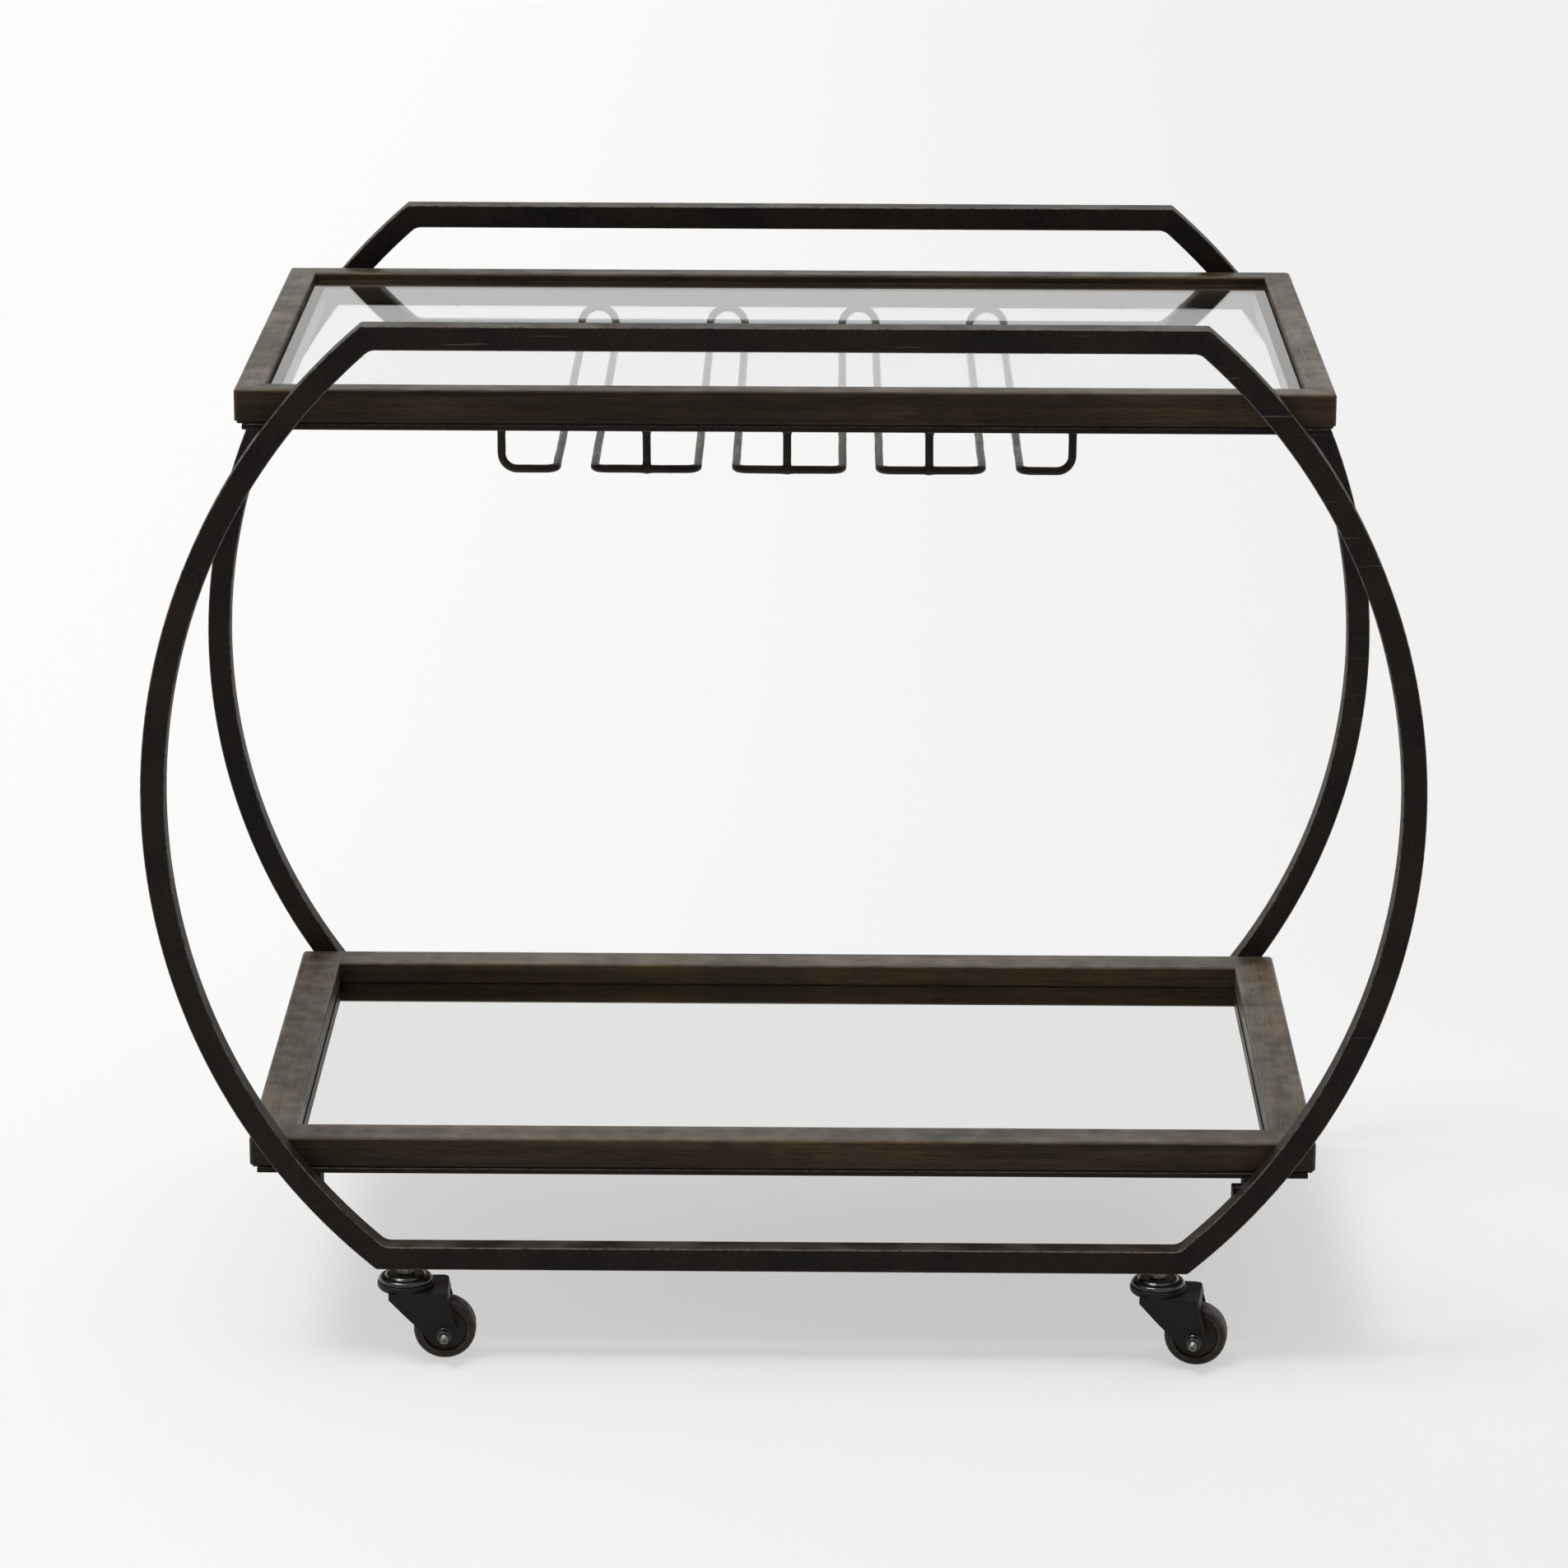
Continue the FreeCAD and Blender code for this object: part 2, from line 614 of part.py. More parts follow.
def bent_path(corners, radii):
    """A wire of straight runs joined by tangent arcs, one radius per inner corner."""
    edges, start = [], corners[0]
    for before, corner, after, radius in zip(corners, corners[1:], corners[2:], radii):
        into = (corner - before).normalize()
        out = (after - corner).normalize()
        half_turn = into.getAngle(out) / 2
        leave = corner - into * (radius * math.tan(half_turn))
        arrive = corner + out * (radius * math.tan(half_turn))
        inward = (out - into).normalize()
        middle = corner + inward * (radius / math.cos(half_turn) - radius)
        if (leave - start).Length > 1e-6:
            edges.append(Part.LineSegment(start, leave).toShape())
        edges.append(Part.Arc(leave, middle, arrive).toShape())
        start = arrive
    edges.append(Part.LineSegment(start, corners[-1]).toShape())
    return Part.Wire(edges)


def rack_rod(label, slot_x, outward):
    """One hairpin around a slot: leg back, arch up to the steel frame, leg forward.

    outward is -1 or +1 for an end slot, whose outer end turns up, and 0 otherwise.
    """
    front, back, level = rack_front.value, rack_back.value, rack_z.value
    arch_top = (top_bar_bottom - S["rod_radius"]).value
    half, corner = S["slot_spread"].value / 2, S["rack_corner_radius"].value
    start_x, end_x = slot_x - S["slot_pitch"].value / 2, slot_x + S["slot_pitch"].value / 2
    reach = S["rack_end_reach"].value
    corners = [Vector(start_x, front, level)]
    radii = []
    if outward < 0:
        start_x = slot_x - reach
        corners = [Vector(start_x, front, top_bar_bottom.value), Vector(start_x, front, level)]
        radii.append(S["rack_end_radius"].value)
    left, right = slot_x - half, slot_x + half
    corners += [Vector(left, front, level), Vector(left, back, level),
                Vector(left, back, arch_top), Vector(right, back, arch_top),
                Vector(right, back, level), Vector(right, front, level)]
    radii += [corner, corner, half, half, corner, corner]
    if outward > 0:
        end_x = slot_x + reach
        corners += [Vector(end_x, front, level), Vector(end_x, front, top_bar_bottom.value)]
        radii.append(S["rack_end_radius"].value)
    else:
        corners.append(Vector(end_x, front, level))

    path = doc.addObject("Part::Feature", "RodPath")
    path.Shape = bent_path(corners, radii)
    ring = doc.addObject("Part::Circle", "RodSection")
    bind(ring, "Radius", S["rod_radius"])
    first = (corners[1] - corners[0]).normalize()
    ring.Placement = Placement(corners[0], Rotation(Vector(0, 0, 1), first))
    sweep = doc.addObject("Part::Sweep", label)
    sweep.Sections = [ring]
    sweep.Spine = (path, [f"Edge{i + 1}" for i in range(len(path.Shape.Edges))])
    sweep.Solid = True
    sweep.Label = label
    return sweep


def make_rack():
    pitch = S["slot_pitch"].value
    rods = [("outer_left", -1.5, -1), ("inner_left", -0.5, 0),
            ("inner_right", 0.5, 0), ("outer_right", 1.5, 1)]
    for where, step, outward in rods:
        rack_rod(f"glass_rack_rod_{where}", step * pitch, outward)
    posts = []
    for step in (-1, 0, 1):
        x = S["slot_pitch"] * step
        post = cylinder(S["rod_radius"], S["rack_drop"], x, rack_front, rack_z)
        crossbar = cylinder(S["rod_radius"], S["rod_radius"] * 4,
                            x - S["rod_radius"] * 2, rack_front, rack_z, along="X")
        posts.append(cut(post, [crossbar]))
    group("glass_rack_posts", posts)


# ---------------------------------------------------------------- casters

def make_jam_nuts():
    nuts = []
    for side in (-1, 1):
        for end in (-1, 1):
            x, y, z = kingpin_x * side, hoop_y * end, rail_bottom - S["jam_nut_height"]
            nut = hexagon(S["jam_nut_across"], S["jam_nut_height"], x, y, z)
            bore = cylinder(S["kingpin_radius"], S["jam_nut_height"], x, y, z)
            nuts.append(cut(nut, [bore]))
    group("caster_jam_nuts", nuts)


def make_kingpin(label, x, y):
    """The pin the fork turns on, with its riveted head below the fork's roof."""
    body = new_body(label)
    head_top = fork_roof - S["race_gap"]
    head_bottom = head_top - S["kingpin_head_height"]
    top = S["tube_wall"] + S["kingpin_reach"]
    half_section = new_sketch(body, "XZ_Plane")
    polygon(half_section, [(0.0, head_bottom), (S["kingpin_head_radius"], head_bottom),
                           (S["kingpin_head_radius"], head_top), (S["kingpin_radius"], head_top),
                           (S["kingpin_radius"], top), (0.0, top)])
    revolve(body, half_section)
    place(body, x, y, rail_bottom)


def make_upper_race(label, x, y):
    body = new_body(label)
    shoulder = cap_bottom + S["cap_height"] / 2
    half_section = new_sketch(body, "XZ_Plane")
    polygon(half_section, [(S["kingpin_radius"], cap_bottom), (S["cap_radius"], cap_bottom),
                           (S["cap_radius"], shoulder), (S["cap_top_radius"], cap_top),
                           (S["kingpin_radius"], cap_top)])
    revolve(body, half_section)
    place(body, x, y, rail_bottom)


def side_plate_outline(sketch):
    """The fork seen from the side: level top, sloping edges, round end at the axle."""
    front, rear, trail = -S["fork_front_reach"], S["fork_rear_reach"], S["caster_trail"]
    radius = S["fork_end_radius"]
    shoulder = (front + S["fork_shoulder_in"], fork_top - S["fork_shoulder_drop"])
    corners = [shoulder, (front, fork_top - S["fork_cheek"]), (front, fork_top), (rear, fork_top)]
    points = [Vector(x.value, z.value, 0) for x, z in corners]
    axle = Vector(trail.value, axle_level.value, 0)
    rear_tangent = axle + Vector(radius.value, 0, 0)
    front_tangent = axle + Vector(-0.6 * radius.value, -0.8 * radius.value, 0)
    chain = [front_tangent] + points + [rear_tangent]
    lines = [sketch.addGeometry(Part.LineSegment(here, there))
             for here, there in zip(chain, chain[1:])]
    whole = Part.Circle(axle, Vector(0, 0, 1), radius.value)
    arc = sketch.addGeometry(Part.ArcOfCircle(whole, math.pi + math.atan2(0.8, 0.6), 2 * math.pi))
    for line, following in zip(lines, lines[1:]):
        sketch.addConstraint(Sketcher.Constraint("Coincident", line, 2, following, 1))
    for line, (x, z) in zip(lines[1:], corners):
        hold_point(sketch, line, 1, x, z)
    hold_point(sketch, arc, 3, trail, axle_level)
    hold_size(sketch, Sketcher.Constraint("Radius", arc, radius.value), radius)
    sketch.addConstraint(Sketcher.Constraint("Tangent", arc, 1, lines[0], 1))
    sketch.addConstraint(Sketcher.Constraint("Tangent", lines[-1], 2, arc, 2))


def make_fork(label, x, y, heading):
    """The swivelling fork: roof, two side plates, rear lip and the lower race."""
    body = new_body(label)
    outline = new_sketch(body, "XZ_Plane")
    side_plate_outline(outline)
    pad(body, outline, fork_outer_width, both_ways=True)
    inside = new_sketch(body, "XZ_Plane")
    ahead = -S["fork_front_reach"] - S["fork_gauge"]
    behind = S["caster_trail"] + S["fork_end_radius"] * 2
    lip_front = S["fork_rear_reach"] - S["fork_gauge"]
    lip_bottom = fork_top - S["fork_lip"]
    below = axle_level - S["fork_end_radius"] * 2
    polygon(inside, [(ahead, fork_roof), (lip_front, fork_roof), (lip_front, lip_bottom),
                     (behind, lip_bottom), (behind, below), (ahead, below)])
    pocket(body, inside, S["fork_inner_width"], both_ways=True)
    race = new_sketch(body, "XY_Plane", fork_top)
    circle(race, 0.0, 0.0, S["race_radius"])
    pad(body, race, S["race_height"])
    pin_hole = new_sketch(body, "XY_Plane", race_top)
    circle(pin_hole, 0.0, 0.0, S["kingpin_radius"] + S["running_play"])
    pocket(body, pin_hole, S["race_height"] + S["fork_gauge"])
    axle_hole = new_sketch(body, "XZ_Plane")
    circle(axle_hole, S["caster_trail"], axle_level, S["axle_radius"])
    pocket(body, axle_hole, fork_outer_width, both_ways=True)
    place(body, x, y, rail_bottom, heading=heading)


def make_wheel(label, bush_label, spot, heading):
    """A solid wheel with a raised rim and a hub, turning with its bush."""
    bore = S["axle_radius"] + S["running_play"] + S["bush_wall"]
    rim = S["wheel_radius"] - S["tread_depth"]
    hub_half = S["fork_inner_width"] / 2 - S["hub_end_gap"]
    web_half, tread_half = S["web_width"] / 2, S["tread_width"] / 2
    upper = [(bore, hub_half), (S["hub_radius"], hub_half), (S["hub_radius"], web_half),
             (rim, web_half), (rim, tread_half), (S["wheel_radius"], tread_half)]
    lower = [(radius, -level) for radius, level in reversed(upper)]
    body = new_body(label)
    half_section = new_sketch(body, "XY_Plane")
    polygon(half_section, upper + lower)
    disc = revolve(body, half_section)

    def tread_edge(edge):
        return hasattr(edge.Curve, "Radius") and (
            abs(edge.Curve.Radius - S["wheel_radius"].value) < 1e-6)

    fillet(body, disc, S["tread_rounding"], tread_edge)
    place(body, *spot, heading=heading)

    bush_half = S["fork_inner_width"] / 2 - S["bush_end_gap"]
    bush = new_body(bush_label)
    wall = new_sketch(bush, "XY_Plane")
    rectangle(wall, S["axle_radius"] + S["running_play"], -bush_half, bore, bush_half)
    revolve(bush, wall)
    place(bush, *spot, heading=heading)


def make_axle(bolt_label, nut_label, x, y, heading, outward):
    """The axle bolt and its flanged nut. The nut faces outward, -1 to the front."""
    plate = fork_outer_width / 2
    stack = S["axle_flange_height"] + S["axle_nut_height"]
    shank_length = fork_outer_width + stack + S["axle_tail"]

    def outside(start, length):
        """Lower end of a run that starts at a distance outward and goes outward."""
        return -start - length if outward < 0 else start

    at = {"x": S["caster_trail"], "z": axle_level, "along": "Y"}
    shank_y = outside(-plate, shank_length)
    shank = cylinder(S["axle_radius"], shank_length, y=shank_y, **at)
    head_y = outside(-plate - S["axle_head_height"], S["axle_head_height"])
    head = hexagon(S["axle_across"], S["axle_head_height"], y=head_y, **at)
    place(name(fuse([shank, head]), bolt_label), x, y, rail_bottom, heading=heading)

    flange_y = outside(plate, S["axle_flange_height"])
    flange = cylinder(S["axle_flange_radius"], S["axle_flange_height"], y=flange_y, **at)
    nut_y = outside(plate + S["axle_flange_height"], S["axle_nut_height"])
    nut = hexagon(S["axle_across"], S["axle_nut_height"], y=nut_y, **at)
    bore = cylinder(S["axle_radius"], stack, y=outside(plate, stack), **at)
    place(name(cut(fuse([flange, nut]), [bore]), nut_label), x, y, rail_bottom,
          heading=heading)


def make_caster(where, side, end, front_heading):
    """One caster. Rear casters mirror the heading of the front caster on their side."""
    x, y = kingpin_x * side, hoop_y * end
    heading = front_heading if end < 0 else -front_heading
    axle_x = x + S["caster_trail"] * cosine(heading)
    axle_y = y + S["caster_trail"] * sine(heading)
    prefix = f"caster_{where}"
    make_kingpin(f"{prefix}_kingpin", x, y)
    make_upper_race(f"{prefix}_upper_race", x, y)
    make_fork(f"{prefix}_fork", x, y, heading)
    make_wheel(f"{prefix}_wheel", f"{prefix}_bush", (axle_x, axle_y, S["wheel_radius"]), heading)
    make_axle(f"{prefix}_axle_bolt", f"{prefix}_axle_nut", x, y, heading, end)


def make_casters():
    make_jam_nuts()
    make_caster("front_left", -1, -1, S["left_heading"])
    make_caster("front_right", 1, -1, S["right_heading"])
    make_caster("back_left", -1, 1, S["left_heading"])
    make_caster("back_right", 1, 1, S["right_heading"])


# ---------------------------------------------------------------- check and write

def pieces():
    """The finished sub-parts: every shape that no other feature or body uses up."""
    found = []
    for thing in doc.Objects:
        helper = thing.isDerivedFrom("Part::Part2DObject") or thing.Label.startswith("RodPath")
        if helper or not hasattr(thing, "Shape") or thing.Shape.isNull():
            continue
        in_body = thing.isDerivedFrom("PartDesign::Feature")
        used = any(not user.isDerivedFrom("App::Origin") for user in thing.InList)
        if not in_body and not used and thing.Shape.Solids:
            found.append(thing)
    return found


def check(thing):
    shape = thing.Shape
    if shape.isNull() or not shape.isValid() or not shape.Solids:
        raise RuntimeError(f"{thing.Label} has no valid solid")


def main():
    make_hoops()
    make_top_tray()
    make_lower_tray()
    make_tray_supports()
    make_rack()
    make_casters()
    doc.recompute()
    for thing in doc.Objects:
        if "Invalid" in thing.State or "Error" in thing.State:
            raise RuntimeError(f"{thing.Label} failed: {thing.State}")
    os.makedirs("parts", exist_ok=True)
    for thing in pieces():
        check(thing)
        thing.Shape.exportStep(f"parts/{thing.Label}.step")
        solids = len(thing.Shape.Solids)
        print(f"{thing.Label}: {solids} solid(s), {thing.Shape.Volume / 1000:.2f} cm3")


main()
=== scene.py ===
# %% [markdown]
# # A bar cart on wheels
#
# The cart is two hoops of square iron tube with two wooden trays hung between them, a rack
# for stemware under the upper tray and four small casters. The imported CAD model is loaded
# first, because every piece made below takes its place from it.

import json
import math
import random

import bmesh
import bpy
from mathutils import Matrix, Vector, noise


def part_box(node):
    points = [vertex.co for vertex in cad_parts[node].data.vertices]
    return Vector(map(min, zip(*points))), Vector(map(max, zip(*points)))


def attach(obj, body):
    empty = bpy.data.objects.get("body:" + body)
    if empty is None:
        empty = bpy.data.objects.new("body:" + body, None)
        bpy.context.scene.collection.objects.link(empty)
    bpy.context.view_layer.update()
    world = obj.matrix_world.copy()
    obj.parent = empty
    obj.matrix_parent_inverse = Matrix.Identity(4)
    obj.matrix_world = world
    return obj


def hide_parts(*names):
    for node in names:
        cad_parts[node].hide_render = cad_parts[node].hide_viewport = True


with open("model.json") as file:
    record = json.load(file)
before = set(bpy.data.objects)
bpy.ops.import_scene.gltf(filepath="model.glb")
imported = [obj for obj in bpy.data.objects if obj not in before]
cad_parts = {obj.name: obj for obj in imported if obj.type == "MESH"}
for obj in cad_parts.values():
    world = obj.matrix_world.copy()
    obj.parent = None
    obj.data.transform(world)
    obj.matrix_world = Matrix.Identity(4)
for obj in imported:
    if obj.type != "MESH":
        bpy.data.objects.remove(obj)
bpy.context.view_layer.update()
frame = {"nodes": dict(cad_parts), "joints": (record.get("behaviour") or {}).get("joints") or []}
MM = 0.001

# %% [markdown]
# ## Camera
#
# The cart is seen from the front, a little above tray height, with a long lens from about
# four and a half metres. The camera's turn is written as three turns about its own axes,
# because pan, tilt and roll are easier to judge apart than mixed in one set of angles.

# %% Camera
camera = bpy.data.objects.new("camera", bpy.data.cameras.new("camera"))
bpy.context.scene.collection.objects.link(camera)
camera.data.lens = 132.06
camera.data.sensor_width = 36.0
camera.data.clip_end = 100.0
pan = Matrix.Rotation(math.radians(0.46), 4, "Z")
tilt = Matrix.Rotation(math.radians(73.84), 4, "X")
roll = Matrix.Rotation(math.radians(0.19), 4, "Z")
camera.matrix_world = Matrix.Translation((0.035, -4.547, 1.722)) @ pan @ tilt @ roll
bpy.context.scene.camera = camera
print("camera at", [round(c, 3) for c in camera.matrix_world.translation])

# %% [markdown]
# ## Helpers for shader nodes
#
# A material is a small graph. These helpers keep each line of it to one node: a value that
# is itself a socket is linked, and any other value is set on the node's own socket. The
# names of sockets repeat inside a Mix node, so colour mixing has a helper of its own.

# %% Node helpers
def add(tree, kind, sockets=None, **settings):
    """One shader node, with its settings, and its sockets linked or set."""
    node = tree.nodes.new("ShaderNode" + kind)
    for name, value in settings.items():
        setattr(node, name, value)
    for name, value in (sockets or {}).items():
        feed(tree, node.inputs[name], value)
    return node


def feed(tree, socket, value):
    """Links a socket into another, or sets it to a plain value."""
    if isinstance(value, bpy.types.NodeSocket):
        tree.links.new(value, socket)
    else:
        socket.default_value = value


def maths(tree, operation, first, second=0.0):
    """One sum on two values. An addition is held at 1, because masks are what it adds."""
    node = add(tree, "Math", operation=operation, use_clamp=operation == "ADD")
    feed(tree, node.inputs[0], first)
    feed(tree, node.inputs[1], second)
    return node.outputs[0]


def blend_colours(tree, factor, first, second):
    """The first colour where the factor is 0 and the second where it is 1."""
    node = add(tree, "Mix", data_type="RGBA")
    feed(tree, node.inputs[0], factor)
    feed(tree, node.inputs[6], first)
    feed(tree, node.inputs[7], second)
    return node.outputs[2]


def fit(tree, value, low, high, new_low=0.0, new_high=1.0):
    """A value taken from one range to another, smoothly, and held inside it."""
    limits = {"Value": value, "From Min": low, "From Max": high,
              "To Min": new_low, "To Max": new_high}
    return add(tree, "MapRange", limits, interpolation_type="SMOOTHSTEP").outputs[0]


print("helpers", [one.__name__ for one in (add, feed, maths, blend_colours, fit)])

# %% [markdown]
# Shader groups are made once and placed in many materials. Each one puts out only a mask
# or a height, and the shader that uses it stays in the material itself.

# %% Start and place a group
def start_group(name, inputs, outputs):
    """A new group, its inner inputs and its inner outputs."""
    group = bpy.data.node_groups.new(name, "ShaderNodeTree")
    for label, value in inputs:
        kind = "NodeSocketVector" if isinstance(value, tuple) else "NodeSocketFloat"
        socket = group.interface.new_socket(label, in_out="INPUT", socket_type=kind)
        socket.default_value = value
    for label in outputs:
        group.interface.new_socket(label, in_out="OUTPUT", socket_type="NodeSocketFloat")
    given = group.nodes.new("NodeGroupInput").outputs
    result = group.nodes.new("NodeGroupOutput").inputs
    return group, given, result


def use_group(tree, group, **values):
    """The outputs of a placed group. An input's name has _ for each space."""
    node = tree.nodes.new("ShaderNodeGroup")
    node.node_tree = group
    for name, value in values.items():
        feed(tree, node.inputs[name.replace("_", " ")], value)
    return node.outputs


def new_material(name, roughness=0.5, metallic=0.0, specular=0.5):
    """A material with one Principled shader, its tree, its shader and object coordinates."""
    material = bpy.data.materials.new(name)
    material.use_nodes = True
    tree = material.node_tree
    shader = tree.nodes["Principled BSDF"]
    shader.inputs["Roughness"].default_value = roughness
    shader.inputs["Metallic"].default_value = metallic
    shader.inputs["Specular IOR Level"].default_value = specular
    place = add(tree, "TexCoord").outputs["Object"]
    return material, tree, shader, place


def raise_surface(tree, shader, height, depth, strength=1.0):
    """Feeds a height to the shader's normal through a Bump node, depth in metres."""
    bump = add(tree, "Bump", {"Strength": strength, "Distance": depth, "Height": height})
    feed(tree, shader.inputs["Normal"], bump.outputs["Normal"])


group_helpers = (start_group, use_group, new_material, raise_surface)
print("helpers", [one.__name__ for one in group_helpers])

# %% [markdown]
# ## Speckle and patchy tone
#
# Powder coat dries with a fine orange-peel speckle, and years of hands and cloths leave it
# patchy. Both are plain noise: one at the size of a grain of powder, one at the size of a
# thumb. Only their scale and how hard they are cut differ, so each is one group.

# %% Speckle group and patch group
speckle_group, given, result = start_group(
    "Fine speckle", [("Place", (0.0, 0.0, 0.0)), ("Scale", 900.0), ("Cover", 0.5)], ["Mask", "Height"])
grains = add(speckle_group, "TexNoise", {"Vector": given["Place"], "Scale": given["Scale"],
                                         "Detail": 2.0})
threshold = maths(speckle_group, "SUBTRACT", 1.0, given["Cover"])
above = maths(speckle_group, "SUBTRACT", grains.outputs[0], threshold)
feed(speckle_group, result["Mask"], fit(speckle_group, above, 0.0, 0.09))
feed(speckle_group, result["Height"], grains.outputs[0])

patch_group, given, result = start_group(
    "Patchy tone", [("Place", (0.0, 0.0, 0.0)), ("Scale", 25.0), ("Softness", 0.2)], ["Mask"])
patches = add(patch_group, "TexNoise", {"Vector": given["Place"], "Scale": given["Scale"],
                                        "Detail": 4.0, "Roughness": 0.6})
low_side = maths(patch_group, "SUBTRACT", 0.52, given["Softness"])
high_side = maths(patch_group, "ADD", 0.52, given["Softness"])
feed(patch_group, result["Mask"], fit(patch_group, patches.outputs[0], low_side, high_side))
print("groups", speckle_group.name, "and", patch_group.name)

# %% [markdown]
# ## Worn edges and painted edge highlights
#
# Finish wears off first along outside edges. Each mesh below stores how exposed a point is,
# from 0 on a flat to 1 on the crest of an edge, and the group breaks that line up with
# noise, so the wear comes and goes as it does on a real tube. On the iron the same line is
# also a painted highlight along the edges.

# %% Edge wear and painted highlight group
edge_wear_and_highlight_group, given, result = start_group(
    "Edge wear and painted highlight", [("Place", (0.0, 0.0, 0.0)), ("Amount", 0.5), ("Scale", 60.0)], ["Mask"])
crest = add(edge_wear_and_highlight_group, "Attribute", attribute_name="crest").outputs["Fac"]
chips = add(edge_wear_and_highlight_group, "TexNoise", {"Vector": given["Place"], "Scale": given["Scale"],
                                     "Detail": 5.0, "Roughness": 0.65})
exposed = maths(edge_wear_and_highlight_group, "MULTIPLY", crest, given["Amount"])
chipped = fit(edge_wear_and_highlight_group, chips.outputs[0], 0.25, 0.68, 0.3, 1.0)
broken = maths(edge_wear_and_highlight_group, "MULTIPLY", exposed, chipped)
feed(edge_wear_and_highlight_group, result["Mask"], fit(edge_wear_and_highlight_group, broken, 0.12, 0.75))
print(edge_wear_and_highlight_group.name, len(edge_wear_and_highlight_group.nodes), "nodes")

# %% [markdown]
# ## Scratches
#
# Bottles and trays leave short, thin, straight marks. Noise that is squeezed along one
# direction turns into streaks, and only its highest crests are kept, so few marks show.

# %% Scratch group
scratch_group, given, result = start_group(
    "Handling scratches",
    [("Place", (0.0, 0.0, 0.0)), ("Scale", 20.0), ("Cover", 0.2)], ["Mask"])
slant = add(scratch_group, "Mapping", {"Vector": given["Place"], "Rotation": (0.2, -0.75, 0.5),
                                       "Scale": (1.0, 30.0, 30.0)})
streaks = add(scratch_group, "TexNoise", {"Vector": slant.outputs[0], "Scale": given["Scale"],
                                          "Detail": 2.0, "Distortion": 0.1})
limit = maths(scratch_group, "SUBTRACT", 0.86, maths(scratch_group, "MULTIPLY", given["Cover"], 0.3))
keen = maths(scratch_group, "SUBTRACT", streaks.outputs[0], limit)
feed(scratch_group, result["Mask"], fit(scratch_group, keen, 0.0, 0.05))
print(scratch_group.name, len(scratch_group.nodes), "nodes")

# %% [markdown]
# ## Wood grain
#
# Sawn boards show long streaks along their length and short dark pores inside them. Each
# board's mesh carries its own length, width and thickness coordinates, shifted by a random
# step, so no two boards share a pattern and the streaks turn with each board.

# %% Wood grain group
grain_group, given, result = start_group(
    "Wood grain", [("Along", (0.0, 0.0, 0.0)), ("Streak", 1.0), ("Pore", 1.0)], ["Tone", "Pores"])
long_streaks = add(grain_group, "Mapping", {"Vector": given["Along"], "Scale": (2.4, 75.0, 75.0)})
bands = add(grain_group, "TexNoise", {"Vector": long_streaks.outputs[0], "Scale": given["Streak"],
                                      "Detail": 6.0, "Roughness": 0.62, "Distortion": 0.35})
feed(grain_group, result["Tone"], fit(grain_group, bands.outputs[0], 0.32, 0.7))
short_lines = add(grain_group, "Mapping", {"Vector": given["Along"], "Scale": (45.0, 1500.0, 1500.0)})
pits = add(grain_group, "TexNoise", {"Vector": short_lines.outputs[0], "Scale": given["Pore"],
                                     "Detail": 2.0})
feed(grain_group, result["Pores"], fit(grain_group, pits.outputs[0], 0.55, 0.68))
print(grain_group.name, len(grain_group.nodes), "nodes")

# %% [markdown]
# ## Dust
#
# Dust settles on what faces up. The normal's height above the level gives the place, and
# noise keeps the film uneven. It is used only on pieces that don't turn.

# %% Dust group
dust_group, given, result = start_group(
    "Settled dust", [("Place", (0.0, 0.0, 0.0)), ("Scale", 40.0), ("Amount", 0.3)], ["Mask"])
facing = add(dust_group, "SeparateXYZ", {"Vector": add(dust_group, "NewGeometry").outputs["Normal"]})
film = add(dust_group, "TexNoise", {"Vector": given["Place"], "Scale": given["Scale"], "Detail": 6.0})
upward = fit(dust_group, facing.outputs["Z"], 0.55, 0.95)
lying = maths(dust_group, "MULTIPLY", upward, fit(dust_group, film.outputs[0], 0.3, 0.75))
feed(dust_group, result["Mask"], maths(dust_group, "MULTIPLY", lying, given["Amount"]))
print(dust_group.name, len(dust_group.nodes), "nodes")

# %% [markdown]
# ## Iron finish
#
# The hoops and the flat frames are mild steel under a bronze-black powder coat. A near
# black and a brown are mixed by patches, the speckle lightens single grains, and a lighter
# colour along the edges, where the coat is also smoother, is partly bare metal from wear
# and partly a painted highlight.

# %% Iron finish
def iron_finish(name, dark, brown, bare_metal_and_highlight, wear, roughness):
    material, tree, shader, place = new_material(name, specular=0.11)
    patch = use_group(tree, patch_group, Place=place, Scale=16.0, Softness=0.2)["Mask"]
    speckle = use_group(tree, speckle_group, Place=place, Scale=900.0, Cover=0.42)
    edge_mask = use_group(tree, edge_wear_and_highlight_group, Place=place, Amount=wear, Scale=190.0)["Mask"]
    marks = use_group(tree, scratch_group, Place=place, Scale=14.0, Cover=0.5)["Mask"]
    dust = use_group(tree, dust_group, Place=place, Scale=30.0, Amount=0.14)["Mask"]
    tone = blend_colours(tree, patch, dark, brown)
    grains = maths(tree, "MULTIPLY", speckle["Mask"], 0.3)
    tone = blend_colours(tree, grains, tone, (0.06, 0.052, 0.045, 1.0))
    edges_and_scratches = maths(tree, "ADD", edge_mask, maths(tree, "MULTIPLY", marks, 0.5))
    # Lighter along the edges: bare metal from wear, and a painted edge highlight as well.
    tone = blend_colours(tree, edges_and_scratches, tone, bare_metal_and_highlight)
    tone = blend_colours(tree, dust, tone, (0.30, 0.28, 0.25, 1.0))
    feed(tree, shader.inputs["Base Color"], tone)
    gloss = fit(tree, patch, 0.0, 1.0, roughness, roughness + 0.12)
    gloss = maths(tree, "SUBTRACT", gloss, maths(tree, "MULTIPLY", edges_and_scratches, 0.14))
    feed(tree, shader.inputs["Roughness"], gloss)
    raise_surface(tree, shader, speckle["Height"], 0.25 * MM, 0.5)
    return material
